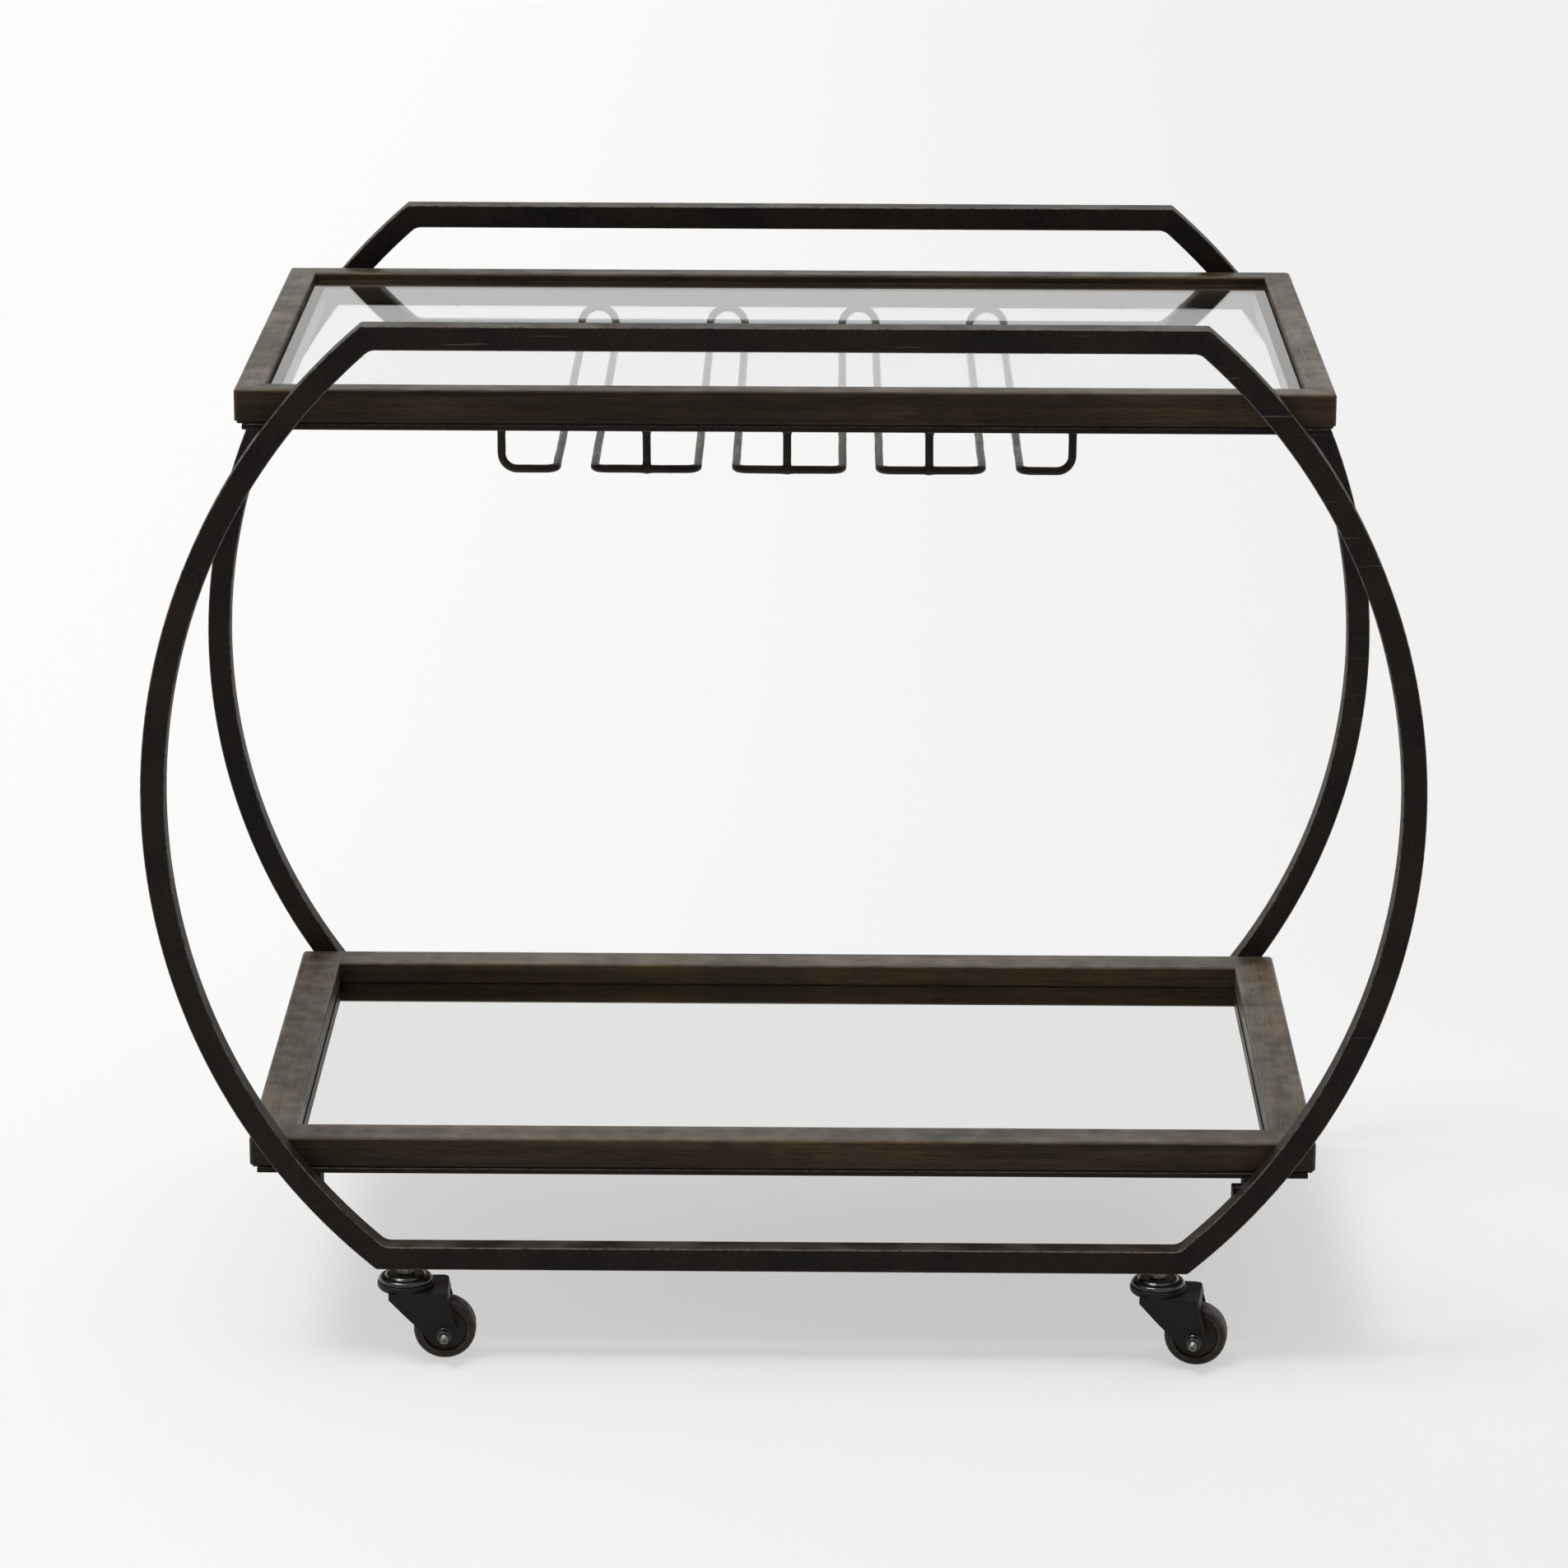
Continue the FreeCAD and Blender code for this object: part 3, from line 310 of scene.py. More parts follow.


# The edge amount of 0.85 on the hoops also paints a highlight along their edges.
iron = iron_finish("bronze-black powder coat", (0.0056, 0.0043, 0.0034, 1.0),
                   (0.0165, 0.0098, 0.0062, 1.0), (0.11, 0.094, 0.08, 1.0), 0.85, 0.46)
rod_iron = iron_finish("oiled bronze rod", (0.0075, 0.005, 0.0035, 1.0),
                       (0.022, 0.0135, 0.008, 1.0), (0.06, 0.045, 0.034, 1.0), 0.4, 0.27)
print("iron finishes", iron.name, "and", rod_iron.name)

# %% [markdown]
# ## Espresso wood
#
# The rails are hardwood with a dark stain and a satin varnish. The varnish is smooth, so
# the top faces pick up the light of the room, while the stain lies deeper in the pores and
# thinner on the rounded edges, where the wood shows through a little.

# %% Espresso wood
def wood_finish():
    material, tree, shader, place = new_material("espresso stained wood", specular=0.13)
    along = add(tree, "Attribute", attribute_name="board").outputs["Vector"]
    grain = use_group(tree, grain_group, Along=along, Streak=1.0, Pore=1.0)
    patch = use_group(tree, patch_group, Place=along, Scale=11.0, Softness=0.12)["Mask"]
    edge_mask = use_group(tree, edge_wear_and_highlight_group, Place=place, Amount=0.8, Scale=45.0)["Mask"]
    dust = use_group(tree, dust_group, Place=place, Scale=60.0, Amount=0.10)["Mask"]
    stain = blend_colours(tree, grain["Tone"], (0.0112, 0.0070, 0.0032, 1.0),
                          (0.058, 0.037, 0.0165, 1.0))
    stain = blend_colours(tree, maths(tree, "MULTIPLY", patch, 0.6), stain,
                          (0.0140, 0.0092, 0.0048, 1.0))
    stain = blend_colours(tree, maths(tree, "MULTIPLY", grain["Pores"], 0.7), stain,
                          (0.004, 0.003, 0.002, 1.0))
    stain = blend_colours(tree, maths(tree, "MULTIPLY", edge_mask, 0.35), stain,
                          (0.11, 0.075, 0.048, 1.0))
    stain = blend_colours(tree, dust, stain, (0.33, 0.31, 0.28, 1.0))
    feed(tree, shader.inputs["Base Color"], stain)
    gloss = fit(tree, patch, 0.0, 1.0, 0.36, 0.46)
    matt_pores = maths(tree, "MULTIPLY", grain["Pores"], 0.12)
    feed(tree, shader.inputs["Roughness"], maths(tree, "ADD", gloss, matt_pores))
    relief = maths(tree, "SUBTRACT", grain["Tone"], grain["Pores"])
    raise_surface(tree, shader, relief, 0.12 * MM, 0.45)
    return material


wood = wood_finish()
print("wood finish", wood.name)

# %% [markdown]
# ## Glass and mirror
#
# The glass is clear with a faint green, and light has to reach the rack below it, so its
# shadow is let through by the Light Path node. The mirror is silver behind clear glass,
# with a few specks where the silver has aged.

# %% Glass and mirror
def glass_finish():
    material, tree, shader, place = new_material("clear tray glass", roughness=0.0)
    shader.inputs["Base Color"].default_value = (0.83, 0.86, 0.87, 1.0)
    shader.inputs["Transmission Weight"].default_value = 1.0
    shader.inputs["IOR"].default_value = 1.6
    smear = use_group(tree, patch_group, Place=place, Scale=7.0, Softness=0.2)["Mask"]
    feed(tree, shader.inputs["Roughness"], fit(tree, smear, 0.0, 1.0, 0.0, 0.035))
    clear = add(tree, "BsdfTransparent", {"Color": (0.93, 0.97, 0.95, 1.0)})
    shadow = add(tree, "LightPath").outputs["Is Shadow Ray"]
    either = add(tree, "MixShader", {0: shadow, 1: shader.outputs[0], 2: clear.outputs[0]})
    tree.links.new(either.outputs[0], tree.nodes["Material Output"].inputs["Surface"])
    return material


def mirror_finish():
    material, tree, shader, place = new_material("silvered mirror", metallic=1.0)
    specks = use_group(tree, speckle_group, Place=place, Scale=55.0, Cover=0.22)["Mask"]
    haze = use_group(tree, patch_group, Place=place, Scale=5.0, Softness=0.2)["Mask"]
    silver = blend_colours(tree, specks, (0.735, 0.75, 0.735, 1.0), (0.42, 0.41, 0.38, 1.0))
    feed(tree, shader.inputs["Base Color"], silver)
    feed(tree, shader.inputs["Roughness"], fit(tree, haze, 0.0, 1.0, 0.01, 0.05))
    return material


glass = glass_finish()
mirror = mirror_finish()
print("panes", glass.name, "and", mirror.name)

# %% [markdown]
# ## Hardboard, enamel, rubber and zinc
#
# The small parts have four plain finishes: pressed brown board, black enamel on the caster
# sheet metal, hard dark rubber on the wheels, and dull zinc on the nuts and pins.

# %% Small finishes
def board_finish():
    material, tree, shader, place = new_material("pressed hardboard", roughness=0.8)
    fibres = use_group(tree, speckle_group, Place=place, Scale=500.0, Cover=0.5)
    tone = blend_colours(tree, fibres["Mask"], (0.13, 0.085, 0.05, 1.0), (0.22, 0.15, 0.095, 1.0))
    feed(tree, shader.inputs["Base Color"], tone)
    raise_surface(tree, shader, fibres["Height"], 0.2 * MM, 0.5)
    return material


def enamel_finish(name, dark, light, roughness, gloss=0.5):
    material, tree, shader, place = new_material(name, specular=gloss)
    patch = use_group(tree, patch_group, Place=place, Scale=90.0, Softness=0.2)["Mask"]
    speckle = use_group(tree, speckle_group, Place=place, Scale=1300.0, Cover=0.45)
    marks = use_group(tree, scratch_group, Place=place, Scale=45.0, Cover=0.4)["Mask"]
    edge_mask = use_group(tree, edge_wear_and_highlight_group, Place=place, Amount=0.7, Scale=160.0)["Mask"]
    tone = blend_colours(tree, patch, dark, light)
    edges_and_scratches = maths(tree, "ADD", edge_mask, maths(tree, "MULTIPLY", marks, 0.4))
    tone = blend_colours(tree, edges_and_scratches, tone, (0.11, 0.10, 0.09, 1.0))
    feed(tree, shader.inputs["Base Color"], tone)
    feed(tree, shader.inputs["Roughness"], fit(tree, patch, 0.0, 1.0, roughness, roughness + 0.14))
    raise_surface(tree, shader, speckle["Height"], 0.12 * MM, 0.4)
    return material


def rubber_finish():
    material, tree, shader, place = new_material("hard brown rubber", specular=0.22)
    mottle = use_group(tree, patch_group, Place=place, Scale=150.0, Softness=0.16)["Mask"]
    grit = use_group(tree, speckle_group, Place=place, Scale=900.0, Cover=0.47)
    scuff = use_group(tree, edge_wear_and_highlight_group, Place=place, Amount=0.9, Scale=130.0)["Mask"]
    tone = blend_colours(tree, mottle, (0.0055, 0.0042, 0.0032, 1.0), (0.026, 0.017, 0.011, 1.0))
    tone = blend_colours(tree, maths(tree, "MULTIPLY", grit["Mask"], 0.3), tone,
                         (0.07, 0.055, 0.045, 1.0))
    tone = blend_colours(tree, maths(tree, "MULTIPLY", scuff, 0.6), tone, (0.09, 0.075, 0.06, 1.0))
    feed(tree, shader.inputs["Base Color"], tone)
    feed(tree, shader.inputs["Roughness"], fit(tree, mottle, 0.0, 1.0, 0.42, 0.62))
    raise_surface(tree, shader, grit["Height"], 0.3 * MM, 0.6)
    return material


def zinc_finish(name, bright, dull, roughness):
    material, tree, shader, place = new_material(name, metallic=1.0)
    bloom = use_group(tree, patch_group, Place=place, Scale=260.0, Softness=0.2)["Mask"]
    marks = use_group(tree, scratch_group, Place=place, Scale=120.0, Cover=0.6)["Mask"]
    tone = blend_colours(tree, bloom, bright, dull)
    tone = blend_colours(tree, maths(tree, "MULTIPLY", marks, 0.5), tone, (0.75, 0.73, 0.7, 1.0))
    feed(tree, shader.inputs["Base Color"], tone)
    feed(tree, shader.inputs["Roughness"], fit(tree, bloom, 0.0, 1.0, roughness, roughness + 0.2))
    raise_surface(tree, shader, bloom, 0.05 * MM, 0.4)
    return material


hardboard = board_finish()
enamel = enamel_finish("black enamel", (0.0032, 0.0032, 0.0034, 1.0),
                       (0.007, 0.0066, 0.0062, 1.0), 0.13)
fork_enamel = enamel_finish("satin black enamel", (0.004, 0.0038, 0.0036, 1.0),
                            (0.0085, 0.0078, 0.007, 1.0), 0.42, gloss=0.18)
screw_black = enamel_finish("blackened screw", (0.012, 0.012, 0.012, 1.0),
                            (0.03, 0.028, 0.026, 1.0), 0.35)
rubber = rubber_finish()
zinc = zinc_finish("dull zinc", (0.24, 0.23, 0.215, 1.0), (0.12, 0.115, 0.105, 1.0), 0.26)
nut_zinc = zinc_finish("clear zinc nut", (0.24, 0.225, 0.19, 1.0), (0.13, 0.12, 0.1, 1.0), 0.4)
print("finishes so far", len(bpy.data.materials))

# %% [markdown]
# ## From rings of points to a piece
#
# Nearly every part of the cart is a shape carried along a path or turned about an axis, so
# the meshes are built as rings of points with a skin between them. A piece is then made
# solid, given its finish and tied to the body that carries it.

# %% Skin and pieces
def skin(rings, closed=False, start=0):
    """Faces between rings of points. Open rings get a cap on each end."""
    size = len(rings[0])
    faces = []
    for ring in range(len(rings) if closed else len(rings) - 1):
        here = start + ring * size
        there = start + (ring + 1) % len(rings) * size
        for step in range(size):
            after = (step + 1) % size
            faces.append((here + step, here + after, there + after, there + step))
    if not closed:
        last = start + (len(rings) - 1) * size
        faces.append(tuple(reversed(range(start, start + size))))
        faces.append(tuple(range(last, last + size)))
    return faces


def face_outwards(mesh):
    """Turns every face of a closed mesh to look outwards."""
    solid = bmesh.new()
    solid.from_mesh(mesh)
    bmesh.ops.recalc_face_normals(solid, faces=solid.faces)
    solid.to_mesh(mesh)
    solid.free()


class Shape:
    """Points and faces of a piece. Each point has its crest value and its place on a board."""

    def __init__(self):
        self.points, self.faces, self.crest, self.board = [], [], [], []

    def add_rings(self, rings, closed=False, crest=None, board=None, where=None):
        self.faces += skin(rings, closed, len(self.points))
        flat = [Vector(point) for ring in rings for point in ring]
        self.points += [where @ point for point in flat] if where else flat
        self.crest += [c for ring in crest for c in ring] if crest else [0.0] * len(flat)
        nowhere = [(0.0, 0.0, 0.0)] * len(flat)
        self.board += [b for ring in board for b in ring] if board else nowhere

    def finish(self, name, material, slot_name, body, *nodes, sharp=38.0):
        mesh = bpy.data.meshes.new(name)
        mesh.from_pydata(self.points, [], self.faces)
        crest = mesh.attributes.new("crest", "FLOAT", "POINT")
        crest.data.foreach_set("value", self.crest)
        board = mesh.attributes.new("board", "FLOAT_VECTOR", "POINT")
        board.data.foreach_set("vector", [c for place in self.board for c in place])
        face_outwards(mesh)
        piece = bpy.data.objects.new(name, mesh)
        return dress(piece, material, slot_name, body, *nodes, sharp=sharp)


def applied(thing):
    """The object's mesh with its modifiers applied."""
    evaluated = thing.evaluated_get(bpy.context.evaluated_depsgraph_get())
    return bpy.data.meshes.new_from_object(evaluated)


def flatten_normals(piece, sharp):
    """Smooth shading that keeps large faces flat and bends only over their rounded edges."""
    piece.data.shade_smooth()
    piece.data.set_sharp_from_angle(angle=math.radians(sharp))
    weighted = piece.modifiers.new("flat faces", "WEIGHTED_NORMAL")
    weighted.mode = "FACE_AREA"
    weighted.weight = 100
    weighted.keep_sharp = True
    mesh = applied(piece)
    piece.modifiers.remove(weighted)
    piece.data = mesh


def dress(piece, material, slot_name, body, *nodes, sharp=38.0):
    """Gives a piece its finish and its body, and hides the CAD nodes it stands for."""
    if piece.name not in bpy.context.scene.collection.objects:
        bpy.context.scene.collection.objects.link(piece)
    piece.data.materials.clear()
    piece.data.materials.append(material)
    flatten_normals(piece, sharp)
    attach(piece, body)
    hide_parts(*nodes)
    return piece


print("helpers", [one.__name__ for one in (skin, Shape, dress)])

# %% [markdown]
# ## Hoops
#
# Each hoop is square tube rolled to a half circle on either side and welded to a straight
# handle and a straight caster rail. A maker would grind the outside of each joint to a
# crisp corner and leave a small fillet of weld inside. The path is a list of pairs, one
# outer and one inner point, so the tube keeps its width round the corners by itself.

# %% Path of a hoop
CORNER_GRIND, CORNER_WELD, TUBE_CORNER = 1.2 * MM, 4.5 * MM, 1.3 * MM
CORNER_STEPS, ARC_STEPS, CHORD_STEPS = 5, 72, 26


def one_edge(radius, level, corner_cut):
    """One quarter of an edge of the hoop: along the chord, round the corner, down the arc."""
    turn = math.asin(level / radius)
    corner = Vector((radius * math.cos(turn), level))
    toward_arc = Vector((math.sin(turn), -math.cos(turn))) * corner_cut
    toward_chord = Vector((-corner_cut, 0.0))
    edge = [Vector(((corner.x - corner_cut) * step / CHORD_STEPS, level))
            for step in range(CHORD_STEPS)]
    for step in range(CORNER_STEPS + 1):
        t = step / CORNER_STEPS
        edge.append(corner + toward_chord * (1 - t) ** 2 + toward_arc * t ** 2)
    start = turn - corner_cut / radius
    for step in range(1, ARC_STEPS // 2 + 1):
        angle = start * (1 - step / (ARC_STEPS // 2))
        edge.append(Vector((radius * math.cos(angle), radius * math.sin(angle))))
    return edge


def whole_edge(quarter):
    """The quarter mirrored into the whole closed edge."""
    right = quarter + [Vector((p.x, -p.y)) for p in reversed(quarter[:-1])]
    left = [Vector((-p.x, p.y)) for p in reversed(right[1:-1])]
    return right + left


print("steps along a quarter", CHORD_STEPS + CORNER_STEPS + ARC_STEPS // 2)

# %% [markdown]
# The tube's section is a square with small rounded corners. The crest value is highest in
# the middle of each rounded corner, which is where the coat wears through.

# %% Section of the tube
def rounded_box(width, height, radius, steps=4):
    """Points (across, up, crest) round a box with rounded corners, from its lower left."""
    section = []
    corners = [(radius, radius, 180), (width - radius, radius, 270),
               (width - radius, height - radius, 0), (radius, height - radius, 90)]
    for x, y, first in corners:
        for step in range(steps + 1):
            angle = math.radians(first + 90 * step / steps)
            crest = math.sin(math.pi * step / steps)
            section.append((x + radius * math.cos(angle), y + radius * math.sin(angle), crest))
    return section


def make_hoop(name, end):
    low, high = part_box(f"{end}_left_arc")
    right_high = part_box(f"{end}_right_arc")[1]
    rail_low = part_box(f"{end}_caster_rail")[0]
    handle_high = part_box(f"{end}_handle_rail")[1]
    side = high.y - low.y
    radius = (right_high.x - low.x) / 2
    middle = (handle_high.z + rail_low.z) / 2
    level = handle_high.z - middle
    outer = whole_edge(one_edge(radius, level, CORNER_GRIND))
    inner = whole_edge(one_edge(radius - side, level - side, CORNER_WELD))
    section = rounded_box(side, side, TUBE_CORNER)
    rings, crests = [], []
    for out, into in zip(outer, inner):
        ring, crest_ring = [], []
        for across, depth, crest in section:
            spot = into + (out - into) * (across / side)
            ring.append((spot.x, low.y + depth, middle + spot.y))
            crest_ring.append(crest)
        rings.append(ring)
        crests.append(crest_ring)
    hoop = Shape()
    hoop.add_rings(rings, closed=True, crest=crests)
    nodes = [f"{end}_{part}" for part in ("handle_rail", "caster_rail", "left_arc", "right_arc")]
    print(name, "radius", round(radius, 4), "side", round(side, 4), "rings", len(rings))
    return hoop.finish(name, iron, "iron", "cart", *nodes)


make_hoop("front_hoop", "front")
make_hoop("back_hoop", "back")

# %% [markdown]
# ## Wooden rails
#
# Each tray has four mitred boards. The upper tray's boards are stepped to hold the glass,
# and all of them have rounded upper edges, a small step along the bottom and rounded
# corners. The lower boards have a thin groove where the mirror meets them, which shows as a
# dark line. A board is its profile carried to the mitre at both ends, where the outer layers
# of the profile follow a quarter round, so that two boards meet in a soft corner.

# %% Profiles of the boards
WOOD_ROUND, WOOD_CORNER, WOOD_STEP, MITRE_ZONE = 2.6 * MM, 4.0 * MM, 2.0 * MM, 40 * MM
TOP_RIM, LOW_RIM = 23 * MM, 35 * MM
GROOVE_HIGH, GROOVE_DEEP = 0.8 * MM, 1.2 * MM


def round_over(x, z, radius, first):
    """A quarter round about a point, as (depth, up, crest)."""
    quarter = []
    for step in range(7):
        angle = math.radians(first - 90 * step / 6)
        quarter.append((x + radius * math.cos(angle), z + radius * math.sin(angle),
                        math.sin(math.pi * step / 6)))
    return quarter


def board_profile(height, rim, full, ledge, groove=None):
    """The board's section, from its outer face inwards. Without a ledge, full is rim."""
    profile = [(WOOD_STEP, 0.0, 0.0), (WOOD_STEP, WOOD_STEP - 0.3 * MM, 0.2),
               (WOOD_STEP - 0.4 * MM, WOOD_STEP, 0.2), (0.3 * MM, WOOD_STEP, 0.6),
               (0.0, WOOD_STEP + 0.4 * MM, 0.6), (0.0, WOOD_STEP + 1.5 * MM, 0.0)]
    profile += round_over(WOOD_ROUND, height - WOOD_ROUND, WOOD_ROUND, 180)
    profile += round_over(rim - WOOD_ROUND, height - WOOD_ROUND, WOOD_ROUND, 90)
    if ledge:
        profile += [(rim, ledge, 0.0), (full, ledge, 0.0)]
    if groove:
        roof, foot, inside = groove + GROOVE_HIGH, groove - 0.2 * MM, rim - GROOVE_DEEP
        profile += [(rim, roof, 0.0), (inside, roof, 0.0), (inside, foot, 0.0), (rim, foot, 0.0)]
    return profile + [(full, 0.0, 0.0)]


print("points over a rounded edge", len(round_over(0, 0, WOOD_ROUND, 180)))

# %% [markdown]
# The mitre lies at 45 degrees, so at either end a layer's length is shorter by its own
# depth. Layers nearer the face than the corner's radius bend to that mitre along an arc,
# after a short straight share of the end zone.

# %% Make the boards
random.seed(7)
STRAIGHT_SHARE = 0.2


def along_board(half, depth, share):
    """Where a layer of the board is, as (along, depth), at a share of its rounded end."""
    near = half - MITRE_ZONE
    if depth >= WOOD_CORNER:
        return near + (half - depth - near) * share, depth
    if share < STRAIGHT_SHARE:
        return near + (half - WOOD_CORNER - near) * share / STRAIGHT_SHARE, depth
    turn = math.radians(45) * (share - STRAIGHT_SHARE) / (1 - STRAIGHT_SHARE)
    inset = WOOD_CORNER - depth
    return half - WOOD_CORNER + inset * math.sin(turn), WOOD_CORNER - inset * math.cos(turn)


def make_board(node, length, profile, spot, turn):
    half = length / 2
    shift = [random.uniform(-5, 5) for _ in range(3)]
    where = Matrix.Translation(spot) @ Matrix.Rotation(math.radians(turn), 4, "Z")
    stations = [(-1, share / 5) for share in range(5, -1, -1)]
    stations += [(1, share / 5) for share in range(6)]
    rings, crests, boards = [], [], []
    for side, share in stations:
        ring, crest_ring, board_ring = [], [], []
        for depth, up, crest in profile:
            along, across = along_board(half, depth, share)
            ring.append((along * side, across, up))
            at_corner = share * 0.7 if depth < WOOD_STEP else 0.0
            crest_ring.append(max(crest, at_corner))
            board_ring.append((along * side + shift[0], depth + shift[1], up + shift[2]))
        rings.append(ring)
        crests.append(crest_ring)
        boards.append(board_ring)
    board = Shape()
    board.add_rings(rings, crest=crests, board=boards, where=where)
    return board.finish(f"{node}_board", wood, "wood", "cart", node)


def make_boards(tray, rim, ledge, groove=None):
    front_low, front_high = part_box(f"{tray}_front_rail")
    back_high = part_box(f"{tray}_back_rail")[1]
    length, height = front_high.x - front_low.x, front_high.z - front_low.z
    depth, full = back_high.y - front_low.y, front_high.y - front_low.y
    profile = board_profile(height, rim, full, ledge, groove)
    bottom = front_low.z
    make_board(f"{tray}_front_rail", length, profile, (0.0, front_low.y, bottom), 0)
    make_board(f"{tray}_back_rail", length, profile, (0.0, back_high.y, bottom), 180)
    make_board(f"{tray}_left_rail", depth, profile, (front_low.x, 0.0, bottom), -90)
    make_board(f"{tray}_right_rail", depth, profile, (front_high.x, 0.0, bottom), 90)
    print(tray, "boards", round(length, 4), "x", round(depth, 4), "height", round(height, 4))


glass_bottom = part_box("top_tray_glass")[0].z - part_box("top_tray_front_rail")[0].z
make_boards("top_tray", TOP_RIM, glass_bottom)
mirror_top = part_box("lower_tray_mirror")[1].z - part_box("lower_tray_front_rail")[0].z
make_boards("lower_tray", LOW_RIM, None, mirror_top)

# %% [markdown]
# ## Panes and hardboard
#
# Glass shelves have ground, slightly rounded arrises, which catch the light as a thin line
# where a plain block would show nothing. The mirror and its backing board are the same
# kind of sheet, with finer edges.

# %% Panes
def make_sheet(node, name, arris, material, slot_name):
    """A flat sheet that fills its node's box, with rounded edges."""
    low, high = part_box(node)
    size = high - low
    outline = rounded_box(size.x, size.y, 1.5 * MM)
    rings, crests = [], []
    for up, inward, crest in ((0.0, 1.0, 0.3), (0.3, 0.3, 1.0), (1.0, 0.0, 0.3)):
        inset = arris * inward
        ring = [(low.x + x * (1 - 2 * inset / size.x) + inset,
                 low.y + y * (1 - 2 * inset / size.y) + inset,
                 low.z + arris * up) for x, y, _ in outline]
        rings.append(ring)
        crests.append([crest] * len(ring))
    upper = [[(x, y, low.z + high.z - z) for x, y, z in ring] for ring in reversed(rings)]
    sheet = Shape()
    sheet.add_rings(rings + upper, crest=crests + crests[::-1])
    print(name, [round(c, 4) for c in size])
    return sheet.finish(name, material, slot_name, "cart", node, sharp=60.0)


make_sheet("top_tray_glass", "glass_pane", 0.9 * MM, glass, "glass")
make_sheet("lower_tray_mirror", "mirror_pane", 0.6 * MM, mirror, "mirror")
make_sheet("lower_tray_board", "backing_board", 0.25 * MM, hardboard, "board")

# %% [markdown]
# ## Steel frames under the trays
#
# A mitred frame of flat bar lies under each tray, held by screws from below. It is made as
# one closed ring with four corners, and a low bead of weld crosses each mitre underneath.

# %% Steel frames
FRAME_CORNERS = ((-1, -1), (1, -1), (1, 1), (-1, 1))


def make_flat_frame(node, name, bar):
    low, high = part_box(node)
    thickness = high.z - low.z
    section = rounded_box(bar, thickness, 0.7 * MM)
    half = Vector(((high.x - low.x) / 2, (high.y - low.y) / 2))
    frame_shape = Shape()
    rings, crests = [], []
    for x_sign, y_sign in FRAME_CORNERS:
        rings.append([(x_sign * (half.x - across), y_sign * (half.y - across), low.z + up)
                      for across, up, _ in section])
        crests.append([crest for _, _, crest in section])
    frame_shape.add_rings(rings, closed=True, crest=crests)
    short = 1.5 * MM
    for x_sign, y_sign in FRAME_CORNERS:
        start = Vector((x_sign * (half.x - short), y_sign * (half.y - short), low.z))
        end = Vector((x_sign * (half.x - bar + short), y_sign * (half.y - bar + short), low.z))
        weld_bead(frame_shape, start, end, 1.7 * MM, 0.75 * MM)
    print(name, "bar", bar, "thickness", round(thickness, 4))
    return frame_shape.finish(name, iron, "iron", "cart", node)


# %% [markdown]
# A weld bead is a row of small overlapping puddles. Its radius swells and shrinks with
# each puddle, and it sits half in the metal, so only the raised part shows.

# %% Weld bead
def weld_bead(shape, start, end, wide, high, puddle=2.6 * MM):
    """A bead of weld between two points, wide across and high up and down."""
    run = end - start
    side = run.cross(Vector((0, 0, 1))).normalized()
    count = max(8, int(run.length / (puddle / 4)))
    rings, crests = [], []
    for step in range(count + 1):
        travelled = run.length * step / count
        ripple = 0.86 + 0.14 * abs(math.sin(math.pi * travelled / puddle))
        taper = min(1.0, 0.15 + min(travelled, run.length - travelled) / wide)
        ring = []
        for corner in range(10):
            angle = 2 * math.pi * corner / 10
            offset = side * (wide * math.cos(angle)) + Vector((0, 0, high * math.sin(angle)))
            ring.append(start + run * (step / count) + offset * (ripple * taper))
        rings.append(ring)
        crests.append([0.4] * 10)
    shape.add_rings(rings, crest=crests)


make_flat_frame("top_tray_steel_frame", "top_tray_flat_frame", 25 * MM)
make_flat_frame("lower_tray_steel_frame", "lower_tray_flat_frame", 45 * MM)
print("tray frames", 2, "welds", 2 * len(FRAME_CORNERS))

# %% [markdown]
# ## Turned parts and hexagons
#
# Nuts, bolts, races and wheels are all turned about an axis. One function makes the rings,
# and a second rule trims a ring to a hexagon or to a cross, so that a nut's chamfer is a
# true cone cut by six flats.

# %% Turned rings
def turned(profile, segments=48, trim=None):
    """Rings about the z axis through points (radius, height, crest)."""
    rings, crests = [], []
    for radius, height, crest in profile:
        ring = []
        for step in range(segments):
            angle = 2 * math.pi * step / segments
            reach = min(radius, trim(angle)) if trim else radius
            ring.append((reach * math.cos(angle), reach * math.sin(angle), height))
        rings.append(ring)
        crests.append([crest] * segments)
    return rings, crests


def hexagon(across):
    """The reach of a hexagon in each direction, for an across-flats size."""
    def reach(angle):
        return across / 2 / math.cos((angle + math.pi / 6) % (math.pi / 3) - math.pi / 6)
    return reach


def nut_profile(across, height, bore=0.0, both=True):
    """A chamfered nut or bolt head, from its lower face up."""
    face, corner, chamfer = across * 0.475, across * 0.59, across * 0.085
    lower = [(face, 0.0, 0.2)]
    lower += [(face + (corner - face) * s / 4, chamfer * s / 4, 0.7) for s in range(1, 5)]
    if not both:
        lower = [(corner, 0.0, 0.0)]
    upper = [(face + (corner - face) * s / 4, height - chamfer * s / 4, 0.7)
             for s in range(4, 0, -1)]
    upper.append((face, height, 0.2))
    if bore:
        return [(bore, 0.0, 0.0)] + lower + upper + [(bore, height, 0.0)]
    return lower + upper


print("helpers", [one.__name__ for one in (turned, hexagon, nut_profile)])

# %% [markdown]
# ## Tray screws
#
# Eight pan-head screws hold each steel frame to its wood. Their heads have a cross recess,
# which is a ring of points pulled in to the shape of a cross and pushed down.

